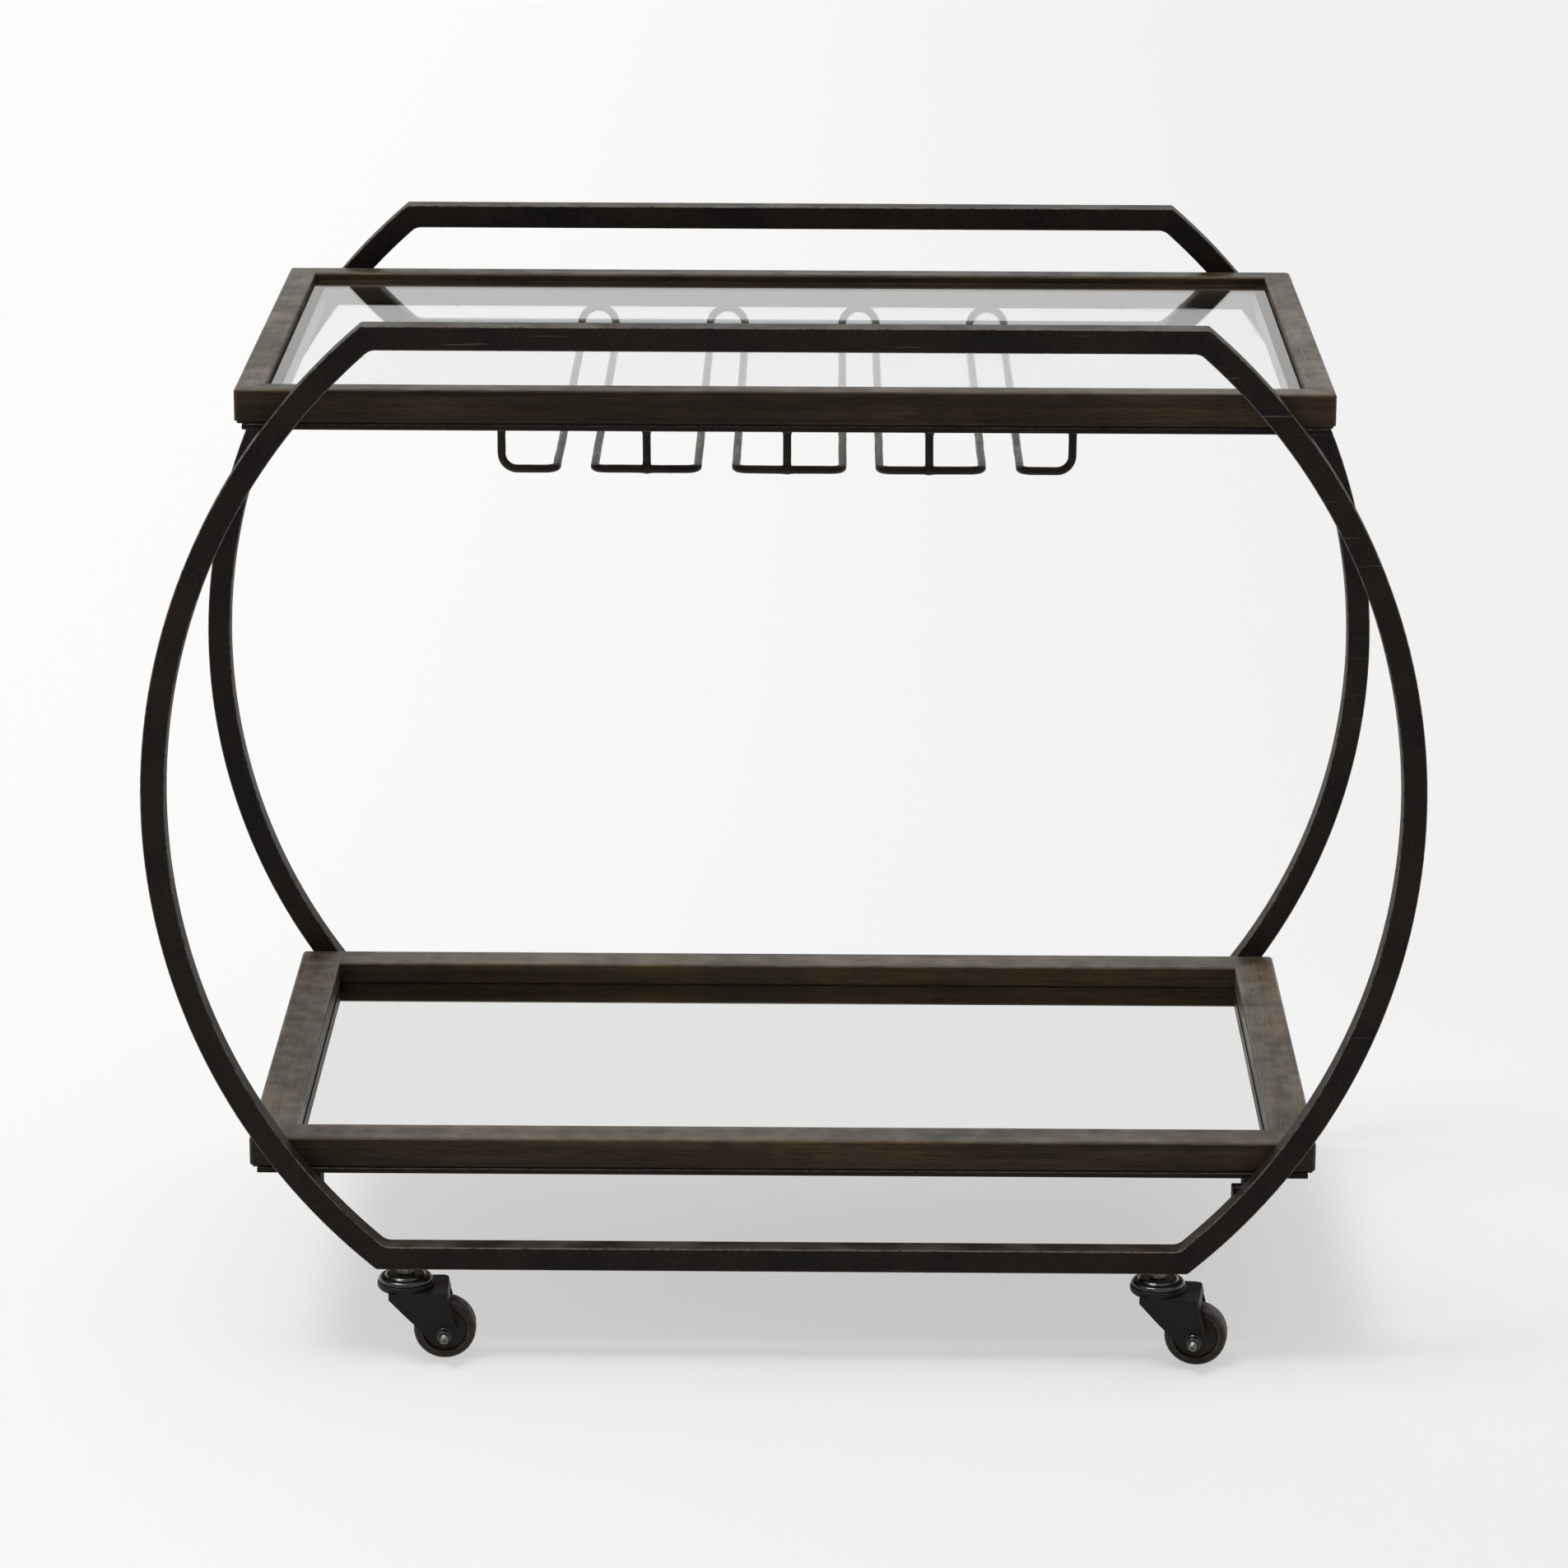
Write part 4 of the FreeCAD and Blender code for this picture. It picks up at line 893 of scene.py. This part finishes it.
# %% Tray screws
CROSS_ARM, CROSS_HALF_WIDTH, CROSS_DEEP = 1.9 * MM, 0.45 * MM, 1.5 * MM
SCREW_INSET, SCREW_ALONG, SCREW_ACROSS = 14 * MM, 280 * MM, 150 * MM
PAN_HEAD = [(2.0, 0.0, 0.0), (3.9, 0.0, 0.3), (4.0, -0.5, 0.6), (3.8, -1.2, 0.6),
            (3.2, -1.8, 0.3), (2.5, -2.1, 0.2)]


def cross_recess(angle):
    """How far the cross reaches in each direction."""
    c, s = max(abs(math.cos(angle)), 1e-6), max(abs(math.sin(angle)), 1e-6)
    return max(min(CROSS_ARM / c, CROSS_HALF_WIDTH / s), min(CROSS_HALF_WIDTH / c, CROSS_ARM / s))


def add_screw(shape, spot, head_height, grip, turn):
    """One screw with its head at the bottom and its shank upwards."""
    profile = [(2.0 * MM, grip, 0.0)] + [(r * MM, z * MM, crest) for r, z, crest in PAN_HEAD]
    where = Matrix.Translation(spot) @ Matrix.Rotation(turn, 4, "Z")
    rings, crests = turned(profile, 32)
    for depth in (-head_height, -head_height + CROSS_DEEP):
        ring, crest = turned([(CROSS_ARM, depth, 0.5)], 32, cross_recess)
        rings += ring
        crests += crest
    shape.add_rings(rings, crest=crests, where=where)


def make_tray_screws(tray):
    low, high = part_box(f"{tray}_screws")
    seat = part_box(f"{tray}_steel_frame")[0].z
    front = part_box(f"{tray}_front_rail")[0]
    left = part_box(f"{tray}_left_rail")[0]
    screws = Shape()
    for side in (-1, 1):
        spots = [(SCREW_ALONG * side, y) for y in (front.y + SCREW_INSET, -front.y - SCREW_INSET)]
        spots += [((-left.x - SCREW_INSET) * side, y) for y in (-SCREW_ACROSS, SCREW_ACROSS)]
        for x, y in spots:
            add_screw(screws, (x, y, seat), seat - low.z, high.z - seat, random.uniform(0, 1.5))
    print(tray, "screws", 2 * len(spots))
    return screws.finish(f"{tray}_pan_screws", screw_black, "black_screw", "cart",
                         f"{tray}_screws")


make_tray_screws("top_tray")
make_tray_screws("lower_tray")

# %% [markdown]
# ## Support blocks and bolts
#
# Small iron blocks are welded to the hoops, and bolts through them carry the lower tray.
# The blocks keep softened edges, and the bolts have chamfered heads below.

# %% Support blocks and bolts
def make_supports():
    low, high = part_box("tray_support_blocks")
    bolt_low, bolt_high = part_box("tray_support_bolts")
    width, depth, edge = 21 * MM, 12 * MM, 0.6 * MM
    bolt_radius, across, head_height = 3.25 * MM, 10 * MM, 4 * MM
    bolt_x = bolt_high.x - across / math.sqrt(3)
    blocks, bolts = Shape(), Shape()
    outline = rounded_box(width, depth, 1.2 * MM)
    for end in (-1, 1):
        y = (high.y - depth / 2) * end
        for x in (low.x + width / 2, high.x - width / 2):
            rings, crests = [], []
            for z, inset, crest in ((low.z, edge, 0.5), (low.z + edge, 0.0, 0.8),
                                    (high.z - edge, 0.0, 0.8), (high.z, edge, 0.5)):
                shrink = 1 - 2 * inset / width
                rings.append([(x + (a - width / 2) * shrink, y + (b - depth / 2) * shrink, z)
                              for a, b, _ in outline])
                crests.append([crest * c for _, _, c in outline])
            blocks.add_rings(rings, crest=crests)
            start = Vector((x - width / 2 + 2 * MM, high.y * end, high.z))
            weld_bead(blocks, start, start + Vector((width - 4 * MM, 0, 0)), 1.6 * MM, 1.6 * MM)
        for side in (-1, 1):
            where = Matrix.Translation((bolt_x * side, y, bolt_low.z))
            rings, crests = turned(nut_profile(across, head_height), 48, hexagon(across))
            bolts.add_rings(rings, crest=crests, where=where)
            pin = [(bolt_radius, head_height, 0.0), (bolt_radius, bolt_high.z - bolt_low.z, 0.0)]
            rings, crests = turned(pin, 32)
            bolts.add_rings(rings, crest=crests, where=where)
    blocks.finish("tray_support_lugs", iron, "iron", "cart", "tray_support_blocks")
    bolts.finish("tray_support_pins", screw_black, "black_screw", "cart", "tray_support_bolts")
    print("support bolts at x", round(bolt_x, 4))


make_supports()

# %% [markdown]
# ## Glass rack
#
# Four rods are bent by hand into hairpins, one round each slot, with an arch at the back
# that is welded to the steel frame, and the two outer rods turn up at the front. The bends
# are true arcs between straight runs. A little unevenness in the line and the thickness,
# and bends that are a few millimetres off, tell the eye that a person bent them.

# %% Bent rods
ROD, ROD_BEND, END_BEND = 3.2 * MM, 9 * MM, 12 * MM


def bent_line(corners, radii, step=3.0 * MM):
    """Points along straight runs joined by arcs, one radius for each inner corner."""
    line, start = [], corners[0]
    for before, corner, after, radius in zip(corners, corners[1:], corners[2:], radii):
        into, out = (corner - before).normalized(), (after - corner).normalized()
        half_turn = into.angle(out) / 2
        leave = corner - into * (radius * math.tan(half_turn))
        centre = corner + (out - into).normalized() * (radius / math.cos(half_turn))
        line += straight_run(start, leave, step)
        axis = into.cross(out).normalized()
        steps = max(6, int(radius * 2 * half_turn / (1.2 * MM)))
        for count in range(steps):
            turn = Matrix.Rotation(2 * half_turn * count / steps, 3, axis)
            line.append(centre + turn @ (leave - centre))
        start = corner + out * (radius * math.tan(half_turn))
    return line + straight_run(start, corners[-1], step) + [corners[-1]]


def straight_run(start, end, step):
    count = max(1, int((end - start).length / step))
    return [start.lerp(end, i / count) for i in range(count)]


def round_tube(line, radii, segments=14):
    """Rings round a line, turned as little as possible from one to the next."""
    rings = []
    heading = (line[1] - line[0]).normalized()
    side = heading.orthogonal().normalized()
    for spot, here in enumerate(line):
        ahead = (line[min(spot + 1, len(line) - 1)] - line[max(spot - 1, 0)]).normalized()
        side = (side - ahead * side.dot(ahead)).normalized()
        up = ahead.cross(side)
        ring = []
        for step in range(segments):
            angle = 2 * math.pi * step / segments
            ring.append(here + (side * math.cos(angle) + up * math.sin(angle)) * radii[spot])
        rings.append(ring)
    return rings


print("rod", round(2000 * ROD, 2), "mm thick")

# %% [markdown]
# A weld flares the rod where it meets another part, so the radius grows within a few
# millimetres of each weld. The flares also carry a crest value, and the finish reads it
# as rubbed metal.

# %% Make the rack
# The offsets of noise_vector come from the clock unless a seed is set, and the bends have to
# be the same on every run.
noise.seed_set(7)


def weld_flare(spot, welds, reach=2.6 * MM):
    """How much a weld swells the rod at this point, from 0 to 1."""
    return max(math.exp(-((spot - weld).length / reach) ** 2) for weld in welds)


def add_rod(shape, line, welds, swell=1.9 * MM, wobble=0.28 * MM):
    radii, crests, moved = [], [], []
    for spot in line:
        flare = weld_flare(spot, welds)
        hand = noise.noise_vector(spot * 28.0) * wobble * (1 - flare)
        moved.append(spot + hand)
        thick = 1 + 0.03 * noise.noise(spot * 90.0)
        lumps = 1 + 0.25 * noise.noise(spot * 500.0)
        radii.append(ROD * thick + swell * flare * lumps)
        crests.append([0.75 * flare + 0.25] * 14)
    shape.add_rings(round_tube(moved, radii), crest=crests)


slot_pitch, slot_half, end_reach = 110 * MM, 14 * MM, 56 * MM
rack_low, rack_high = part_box("glass_rack_posts")
frame_under = rack_high.z
rod_level = rack_low.z
front_y = -abs(rack_low.y + rack_high.y) / 2
back_y = -front_y

# Millimetres that each rod's start, two slot sides and end are off, by hand.
HAND_SET = {"outer_left": (3.5, 3.5, 4.5, 4.0), "inner_left": (4.0, 2.0, 3.5, 2.0),
            "inner_right": (2.0, 3.5, 4.0, 1.2), "outer_right": (1.2, 1.0, 2.2, 0.0)}


def make_rod(where, step, outward):
    slot = slot_pitch * step
    off_start, off_left, off_right, off_end = [off * MM for off in HAND_SET[where]]
    left, right = slot - slot_half + off_left, slot + slot_half + off_right
    start, end = slot - slot_pitch / 2 + off_start, slot + slot_pitch / 2 + off_end
    arch = frame_under - ROD
    crown = (right - left) / 2
    radii = [ROD_BEND, ROD_BEND, crown, crown, ROD_BEND, ROD_BEND]
    corners = [(start, front_y, rod_level)]
    if outward < 0:
        start = slot - end_reach + off_start
        corners = [(start, front_y, frame_under), (start, front_y, rod_level)]
        radii.insert(0, END_BEND)
    corners += [(left, front_y, rod_level), (left, back_y, rod_level), (left, back_y, arch)]
    corners += [(right, back_y, arch), (right, back_y, rod_level), (right, front_y, rod_level)]
    if outward > 0:
        end = slot + end_reach + off_end
        corners += [(end, front_y, rod_level), (end, front_y, frame_under)]
        radii.append(END_BEND)
    else:
        corners.append((end, front_y, rod_level))
    line = bent_line([Vector(c) for c in corners], radii)
    rod = Shape()
    add_rod(rod, line, [line[0], line[-1]], swell=0.7 * MM)
    print("rod", where, "length", round(sum((b - a).length for a, b in zip(line, line[1:])), 3))
    return rod.finish(f"glass_rack_hairpin_{where}", rod_iron, "rod", "cart",
                      f"glass_rack_rod_{where}")


for where, step, outward in (("outer_left", -1.5, -1), ("inner_left", -0.5, 0),
                             ("inner_right", 0.5, 0), ("outer_right", 1.5, 1)):
    make_rod(where, step, outward)

posts = Shape()
for step, where in enumerate(("outer_left", "inner_left", "inner_right"), start=-1):
    x = slot_pitch * step + HAND_SET[where][3] * MM
    foot = Vector((x, front_y, rod_level))
    head = Vector((x, front_y, frame_under))
    add_rod(posts, straight_run(foot, head, 0.8 * MM) + [head], [foot, head])
posts.finish("glass_rack_stems", rod_iron, "rod", "cart", "glass_rack_posts")

# %% [markdown]
# ## Casters
#
# Each caster hangs from a kingpin under the caster rail: a jam nut, a pressed upper race,
# a fork with its own race, and a wheel that runs on a bush about the axle bolt. They are
# built once in their own frame, x along the trail and z up from the floor, and then set
# by the joints: the kingpin's place, and the direction from it to the axle.

# %% Where the casters are
joints = {joint["name"]: Vector(joint["pos_m"]) for joint in frame["joints"]}
CASTERS = ("front_left", "front_right", "back_left", "back_right")


def caster_place(where):
    """The caster's own frame: on the floor under its kingpin, x towards its axle."""
    pin = joints[f"caster_{where}_swivel_turn"]
    axle = joints[f"caster_{where}_roll"]
    heading = math.atan2(axle.y - pin.y, axle.x - pin.x)
    return Matrix.Translation((pin.x, pin.y, 0.0)) @ Matrix.Rotation(heading, 4, "Z")


trail = (joints["caster_front_left_roll"] - joints["caster_front_left_swivel_turn"]).to_2d().length
axle_height = joints["caster_front_left_roll"].z
print("trail", round(trail, 4), "axle height", round(axle_height, 4))

# %% [markdown]
# ## Races and jam nuts
#
# The upper race is a pressed cap with a rolled rim, and the nut above it locks the stem.
# Turned profiles with many small steps keep their highlights round.

# %% Races and jam nuts
def make_upper_race(where):
    node = f"caster_{where}_upper_race"
    low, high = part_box(node)
    rim = (high.x - low.x) / 2
    steps = [(4.1, 5.5, 0.0), (13.6, 5.5, 0.0), (14.6, 5.4, 0.2), (15.2, 5.1, 0.5), (15.7, 4.5, 0.2),
             (16.2, 4.0, 0.0), (17.0, 3.75, 0.0), (18.6, 3.7, 0.0), (19.7, 3.4, 0.1), (20.6, 2.8, 0.3),
             (21.2, 2.0, 0.5), (21.5, 1.2, 0.7), (21.5, 0.6, 0.5), (21.2, 0.15, 0.2),
             (20.8, 0.0, 0.0), (4.1, 0.0, 0.0)]
    drawn_rim = max(r for r, _, _ in steps) * MM
    profile = [(r * MM * rim / drawn_rim, z * MM, crest) for r, z, crest in steps]
    race = Shape()
    rings, crests = turned(profile, 72)
    at = caster_place(where) @ Matrix.Translation((0, 0, low.z))
    race.add_rings(rings, closed=True, crest=crests, where=at)
    return race.finish(f"caster_{where}_cap_race", enamel, "caster_black", "cart", node)


def make_jam_nuts():
    low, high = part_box("caster_jam_nuts")
    nuts = Shape()
    across, bore = 13 * MM, 4 * MM
    for where, degrees in zip(CASTERS, (17, 41, 5, 28)):
        turn = Matrix.Rotation(math.radians(degrees), 4, "Z")
        at = caster_place(where) @ Matrix.Translation((0, 0, low.z)) @ turn
        profile = nut_profile(across, high.z - low.z, bore)
        rings, crests = turned(profile, 48, hexagon(across))
        nuts.add_rings(rings, closed=True, crest=crests, where=at)
    return nuts.finish("caster_lock_nuts", nut_zinc, "zinc", "cart", "caster_jam_nuts")


for where in CASTERS:
    make_upper_race(where)
make_jam_nuts()
print("races and jam nuts", len(CASTERS))

# %% [markdown]
# ## Forks
#
# A fork is one piece of sheet, folded down on both sides and at the rear, with the lower
# race riveted on and pressed into a shallow dish. It is made here as a solid with the side
# outline, hollowed by a second solid and rounded at its edges like pressed sheet, and the
# race and its dish are then joined on as one turned ring.

# %% Fork outlines
SHEET, FORK_WIDTH, FORK_FRONT, FORK_REAR, FORK_TOP = 2.2 * MM, 44 * MM, 13 * MM, 34 * MM, 60 * MM
FRONT_DROP, SHOULDER_IN, SHOULDER_DROP, REAR_DROP = 5 * MM, 14 * MM, 20 * MM, 7 * MM
END_RADIUS, END_STEPS = 10.5 * MM, 22


def fork_outline():
    """The fork from the side, as (along, up) points, with its round end at the axle."""
    outline = [(SHOULDER_IN - FORK_FRONT, FORK_TOP - SHOULDER_DROP),
               (-FORK_FRONT, FORK_TOP - FRONT_DROP), (-FORK_FRONT, FORK_TOP), (FORK_REAR, FORK_TOP)]
    sweep = math.pi - math.atan2(0.8, 0.6)
    for step in range(END_STEPS + 1):
        angle = -sweep * step / END_STEPS
        outline.append((trail + END_RADIUS * math.cos(angle),
                        axle_height + END_RADIUS * math.sin(angle)))
    return outline


def hollow_outline():
    """What is cut out between the side plates, and behind the rear lip."""
    front, rear, inner_rear = -30 * MM, 60 * MM, FORK_REAR - SHEET
    roof, lip = FORK_TOP - SHEET, FORK_TOP - REAR_DROP
    return [(front, roof), (inner_rear, roof), (inner_rear, lip), (rear, lip), (rear, 0.0),
            (front, 0.0)]


print("fork outline", len(fork_outline()), "points")

# %% [markdown]
# The exact Boolean solver joins the three solids cleanly, and a Bevel limited by angle
# rounds the sheet's edges but leaves the curved walls alone. The modifiers are applied
# together, so the piece is a plain mesh when the frame takes hold of it.

# %% Forks
def slab(name, outline, width):
    """A temporary solid: an outline in the xz plane, as wide as given about y = 0."""
    rings = [[(x, side * width / 2, z) for x, z in outline] for side in (-1, 1)]
    return temporary(name, rings)


def temporary(name, rings, closed=False):
    mesh = bpy.data.meshes.new(name)
    mesh.from_pydata([p for ring in rings for p in ring], [], skin(rings, closed))
    face_outwards(mesh)
    thing = bpy.data.objects.new(name, mesh)
    bpy.context.scene.collection.objects.link(thing)
    return thing


def shape_by(thing, tool, operation):
    cutter = thing.modifiers.new(operation, "BOOLEAN")
    cutter.object = tool
    cutter.operation = operation
    cutter.solver = "EXACT"


def round_upright_corners(blank, radius):
    """Rounds the short edges at the roof's rear, where the sheet is folded round."""
    solid = bmesh.new()
    solid.from_mesh(blank.data)
    rear = [edge for edge in solid.edges
            if all(abs(v.co.y) > FORK_WIDTH / 2 - MM for v in edge.verts)
            and max(v.co.x for v in edge.verts) > FORK_REAR - MM
            and max(v.co.z for v in edge.verts) > FORK_TOP - MM
            and min(v.co.z for v in edge.verts) < FORK_TOP - MM]
    bmesh.ops.bevel(solid, geom=rear, offset=radius, segments=5, profile=0.5, affect="EDGES")
    solid.to_mesh(blank.data)
    solid.free()


def fork_mesh():
    """The whole fork as one mesh, in the caster's own frame."""
    blank = slab("fork_blank", fork_outline(), FORK_WIDTH)
    hollow = slab("fork_hollow", hollow_outline(), FORK_WIDTH - 2 * SHEET)
    dish_and_race = [(16.0, -3.4), (18.6, -2.6), (21.2, -1.3), (22.3, 0.2), (22.5, 1.2), (22.5, 3.4),
                     (22.1, 4.2), (21.2, 4.6), (4.05, 4.6), (4.05, -0.8), (14.4, -0.8), (15.4, -2.0)]
    level = FORK_TOP - 0.02 * MM
    race_rings, _ = turned([(r * MM, level + z * MM, 0) for r, z in dish_and_race], 72)
    race = temporary("fork_race", race_rings, closed=True)
    round_upright_corners(blank, 5 * MM)
    shape_by(blank, hollow, "DIFFERENCE")
    rounding = blank.modifiers.new("rounding", "BEVEL")
    rounding.width = 0.75 * MM
    rounding.segments = 3
    rounding.limit_method = "ANGLE"
    rounding.angle_limit = math.radians(40)
    shape_by(blank, race, "UNION")
    bpy.context.view_layer.update()
    mesh = applied(blank)
    for thing in (blank, hollow, race):
        bpy.data.objects.remove(thing)
    return mesh


fork_sheet = fork_mesh()
print("fork faces", len(fork_sheet.polygons))
for where in CASTERS:
    mesh = fork_sheet.copy()
    mesh.transform(caster_place(where))
    fork = bpy.data.objects.new(f"caster_{where}_pressed_fork", mesh)
    dress(fork, fork_enamel, "caster_black", f"caster_{where}_swivel", f"caster_{where}_fork",
          sharp=45.0)

# %% [markdown]
# ## Wheels
#
# A wheel is one turned profile: a tread with rounded shoulders, a raised rim band with a
# groove inside it, a thin web and a hub. Hard rubber wears unevenly, so the tread is very
# slightly out of round. It stays inside the true radius, so that the wheel still rolls.

# %% Wheels
WHEEL_HALF = [(5.0, 19.3, 0.0), (7.4, 19.3, 0.3), (8.0, 18.8, 0.8), (8.0, 7.8, 0.0), (8.9, 7.05, 0.0),
              (16.2, 7.0, 0.0), (17.2, 7.3, 0.0), (17.7, 8.1, 0.1), (18.0, 9.3, 0.5), (18.5, 9.75, 0.9),
              (19.2, 9.95, 0.6), (21.0, 10.0, 0.3), (22.0, 9.85, 0.3), (23.2, 9.35, 0.5),
              (24.1, 8.5, 0.8), (24.6, 7.4, 0.6), (24.85, 5.8, 0.3), (24.95, 3.0, 0.2), (25.0, 1.0, 0.2)]
TREAD_FROM, TREAD_WEAR = 18.2 * MM, 0.0035


def make_wheel(where):
    node = f"caster_{where}_wheel"
    profile = [(r * MM, y * MM, c) for r, y, c in WHEEL_HALF]
    profile += [(r, -y, c) for r, y, c in reversed(profile)]
    rings, crests = turned(profile, 96)
    for ring, (radius, _, _) in zip(rings, profile):
        for step, (x, y, z) in enumerate(ring):
            wear = noise.noise(Vector((x * 260, y * 260, z * 90))) + 1
            keep = 1 - TREAD_WEAR * wear * (radius > TREAD_FROM)
            ring[step] = (x * keep, y * keep, z)
    upright = Matrix.Rotation(math.radians(90), 4, "X")
    at = caster_place(where) @ Matrix.Translation((trail, 0, axle_height)) @ upright
    wheel = Shape()
    wheel.add_rings(rings, closed=True, crest=crests, where=at)
    return wheel.finish(f"caster_{where}_tyre", rubber, "wheel", f"caster_{where}_roller", node)


for where in CASTERS:
    make_wheel(where)
print("wheels", len(CASTERS))

# %% [markdown]
# ## Axle bolts and nuts
#
# The bolt goes through the fork from the inside of the cart, and a flanged nut closes it
# on the outside, with a few turns of thread standing proud.

# %% Axle bolts and nuts
def make_axle(where):
    outward = -1 if where.startswith("front") else 1
    plate, tail = FORK_WIDTH / 2, 6 * MM
    flange, nut_height, head, across = 1.0 * MM, 5.0 * MM, 4.0 * MM, 10 * MM
    thread_pitch, thread_start = 0.7 * MM, plate - 2 * MM
    bolt_end = plate + flange + nut_height + tail
    quarter = Matrix.Rotation(math.radians(-90 * outward), 4, "X")
    at = caster_place(where) @ Matrix.Translation((trail, 0, axle_height)) @ quarter
    bolt = Shape()
    spin = Matrix.Rotation(random.uniform(0, 1), 4, "Z")
    head_profile = [(r, -plate - h, c) for r, h, c in reversed(nut_profile(across, head, both=False))]
    rings, crests = turned(head_profile, 48, hexagon(across))
    bolt.add_rings(rings, crest=crests, where=at @ spin)
    shank = [(2.95 * MM, -plate, 0.0), (2.95 * MM, thread_start, 0.0)]
    height = thread_start
    while height < bolt_end - 1.2 * MM:
        shank += [(3.0 * MM, height + 0.2 * MM, 0.8), (2.65 * MM, height + 0.55 * MM, 0.0)]
        height += thread_pitch
    shank += [(2.9 * MM, bolt_end - 0.5 * MM, 0.6), (2.5 * MM, bolt_end, 0.3), (1.8 * MM, bolt_end, 0.3),
              (1.4 * MM, bolt_end - 1.4 * MM, 0.0), (0.3 * MM, bolt_end - 1.6 * MM, 0.0)]
    rings, crests = turned(shank, 28)
    bolt.add_rings(rings, crest=crests, where=at)
    bolt.finish(f"caster_{where}_bolt", zinc, "zinc", f"caster_{where}_swivel",
                f"caster_{where}_axle_bolt")
    nut = Shape()
    foot = [(3.0, 0.0, 0.0), (6.0, 0.0, 0.1), (6.2, 0.25, 0.7), (6.2, 0.6, 0.7), (5.9, 0.95, 0.5),
            (3.0, 1.0, 0.0)]
    rings, crests = turned([(r * MM, plate + z * MM, c) for r, z, c in foot], 48)
    nut.add_rings(rings, closed=True, crest=crests, where=at)
    hexagonal = nut_profile(across, nut_height, 3 * MM, both=False)
    body = [(r, plate + flange + z, c) for r, z, c in hexagonal]
    rings, crests = turned(body, 48, hexagon(across))
    nut.add_rings(rings, closed=True, crest=crests, where=at @ spin)
    nut.finish(f"caster_{where}_flange_nut", enamel, "caster_black", f"caster_{where}_swivel",
               f"caster_{where}_axle_nut")


for where in CASTERS:
    make_axle(where)
print("axle bolts and nuts", len(CASTERS))

# %% [markdown]
# ## Kingpins and bushes
#
# The kingpins and the bushes are plain turned steel and nearly hidden, so the CAD meshes
# stay and only take a finish.

# %% Kingpins and bushes
for where in CASTERS:
    for part in ("kingpin", "bush"):
        node = frame["nodes"][f"caster_{where}_{part}"]
        for spot in node.material_slots:
            spot.material = zinc
kept = [name for name, node in frame["nodes"].items() if not node.hide_render]
print("CAD nodes still shown", kept)

# %% [markdown]
# ## Floor and light
#
# The floor is a plain pale sheet, wide enough to fill the view from any side. Its colour is
# a painted glow, as if lit from inside like a studio's light table, so that the shadow on
# it stays thin, and the painted glow is a little brighter on the left, as if lit from that
# side. The room is brighter behind and above than in front, which leaves the dark faces
# towards the viewer dark and lets the glass and the wood's top faces pick up a pale sheen.

# %% Floor
floor_mesh = bpy.data.meshes.new("floor")
FLOOR_REACH = 40.0
floor_corners = [(x * FLOOR_REACH, y * FLOOR_REACH, 0) for x, y in FRAME_CORNERS]
floor_mesh.from_pydata(floor_corners, [], [(0, 1, 2, 3)])
floor = bpy.data.objects.new("floor", floor_mesh)
bpy.context.scene.collection.objects.link(floor)
floor_paint, tree, shader, place = new_material("pale floor", roughness=0.9, specular=0.1)
shader.inputs["Base Color"].default_value = (0.20, 0.20, 0.20, 1.0)
sideways = add(tree, "SeparateXYZ", {"Vector": place}).outputs["X"]
# Painted glow: the floor gives off light, a little more on the left, which lightens its shadow.
painted_floor_glow = fit(tree, sideways, -1.1, 1.1, 0.585, 0.482)
feed(tree, shader.inputs["Emission Color"], painted_floor_glow)
shader.inputs["Emission Strength"].default_value = 1.0
floor_mesh.materials.append(floor_paint)
print("floor", 2 * FLOOR_REACH, "m wide")

# %% [markdown]
# The room's light is the world's colour by direction. A second, plain colour is shown only
# to the camera itself, so that a low view doesn't see the dark side of the room. The key is
# a wide, soft sun almost overhead, because it lights a floor of any size evenly and puts the
# shadow right under the cart. A weak round lamp from the left fills the nearer faces.

# %% Light
world = bpy.data.worlds.new("studio")
bpy.context.scene.world = world
world.use_nodes = True
sky = world.node_tree
background = sky.nodes["Background"]
toward = add(sky, "SeparateXYZ", {"Vector": add(sky, "TexCoord").outputs["Generated"]})
behind = fit(sky, toward.outputs["Y"], -0.6, 0.5, 0.10, 0.98)
overhead = fit(sky, toward.outputs["Z"], 0.3, 0.9, 0.0, 0.85)
# The helper would hold this sum at 1, and the light overhead has to pass it.
bright = add(sky, "Math", operation="ADD")
feed(sky, bright.inputs[0], behind)
feed(sky, bright.inputs[1], overhead)
plain = add(sky, "Background", {"Color": (0.96, 0.96, 0.96, 1.0), "Strength": 1.0})
feed(sky, background.inputs["Strength"], bright.outputs[0])
background.inputs["Color"].default_value = (1.0, 0.995, 0.985, 1.0)
seen = add(sky, "LightPath").outputs["Is Camera Ray"]
either = add(sky, "MixShader", {0: seen, 1: background.outputs[0], 2: plain.outputs[0]})
sky.links.new(either.outputs[0], sky.nodes["World Output"].inputs["Surface"])


def place_light(name, kind, spot, aim, energy):
    """A light that shines from one point towards another."""
    lamp = bpy.data.lights.new(name, kind)
    lamp.energy = energy
    light = bpy.data.objects.new(name, lamp)
    bpy.context.scene.collection.objects.link(light)
    light.location = spot
    light.rotation_euler = (Vector(aim) - Vector(spot)).to_track_quat("-Z", "Y").to_euler()
    light.visible_camera = False
    return lamp


key = place_light("key", "SUN", (-1.1, -0.2, 3.4), (0, 0, 0), 2.5)
key.angle = math.radians(20)
fill = place_light("fill", "AREA", (-3.2, -2.4, 0.9), (-0.3, 0, 0.5), 3.0)
fill.shape = "DISK"
fill.size = 1.0
bpy.context.scene.view_settings.view_transform = "Standard"
print("lights", key.name, fill.name)
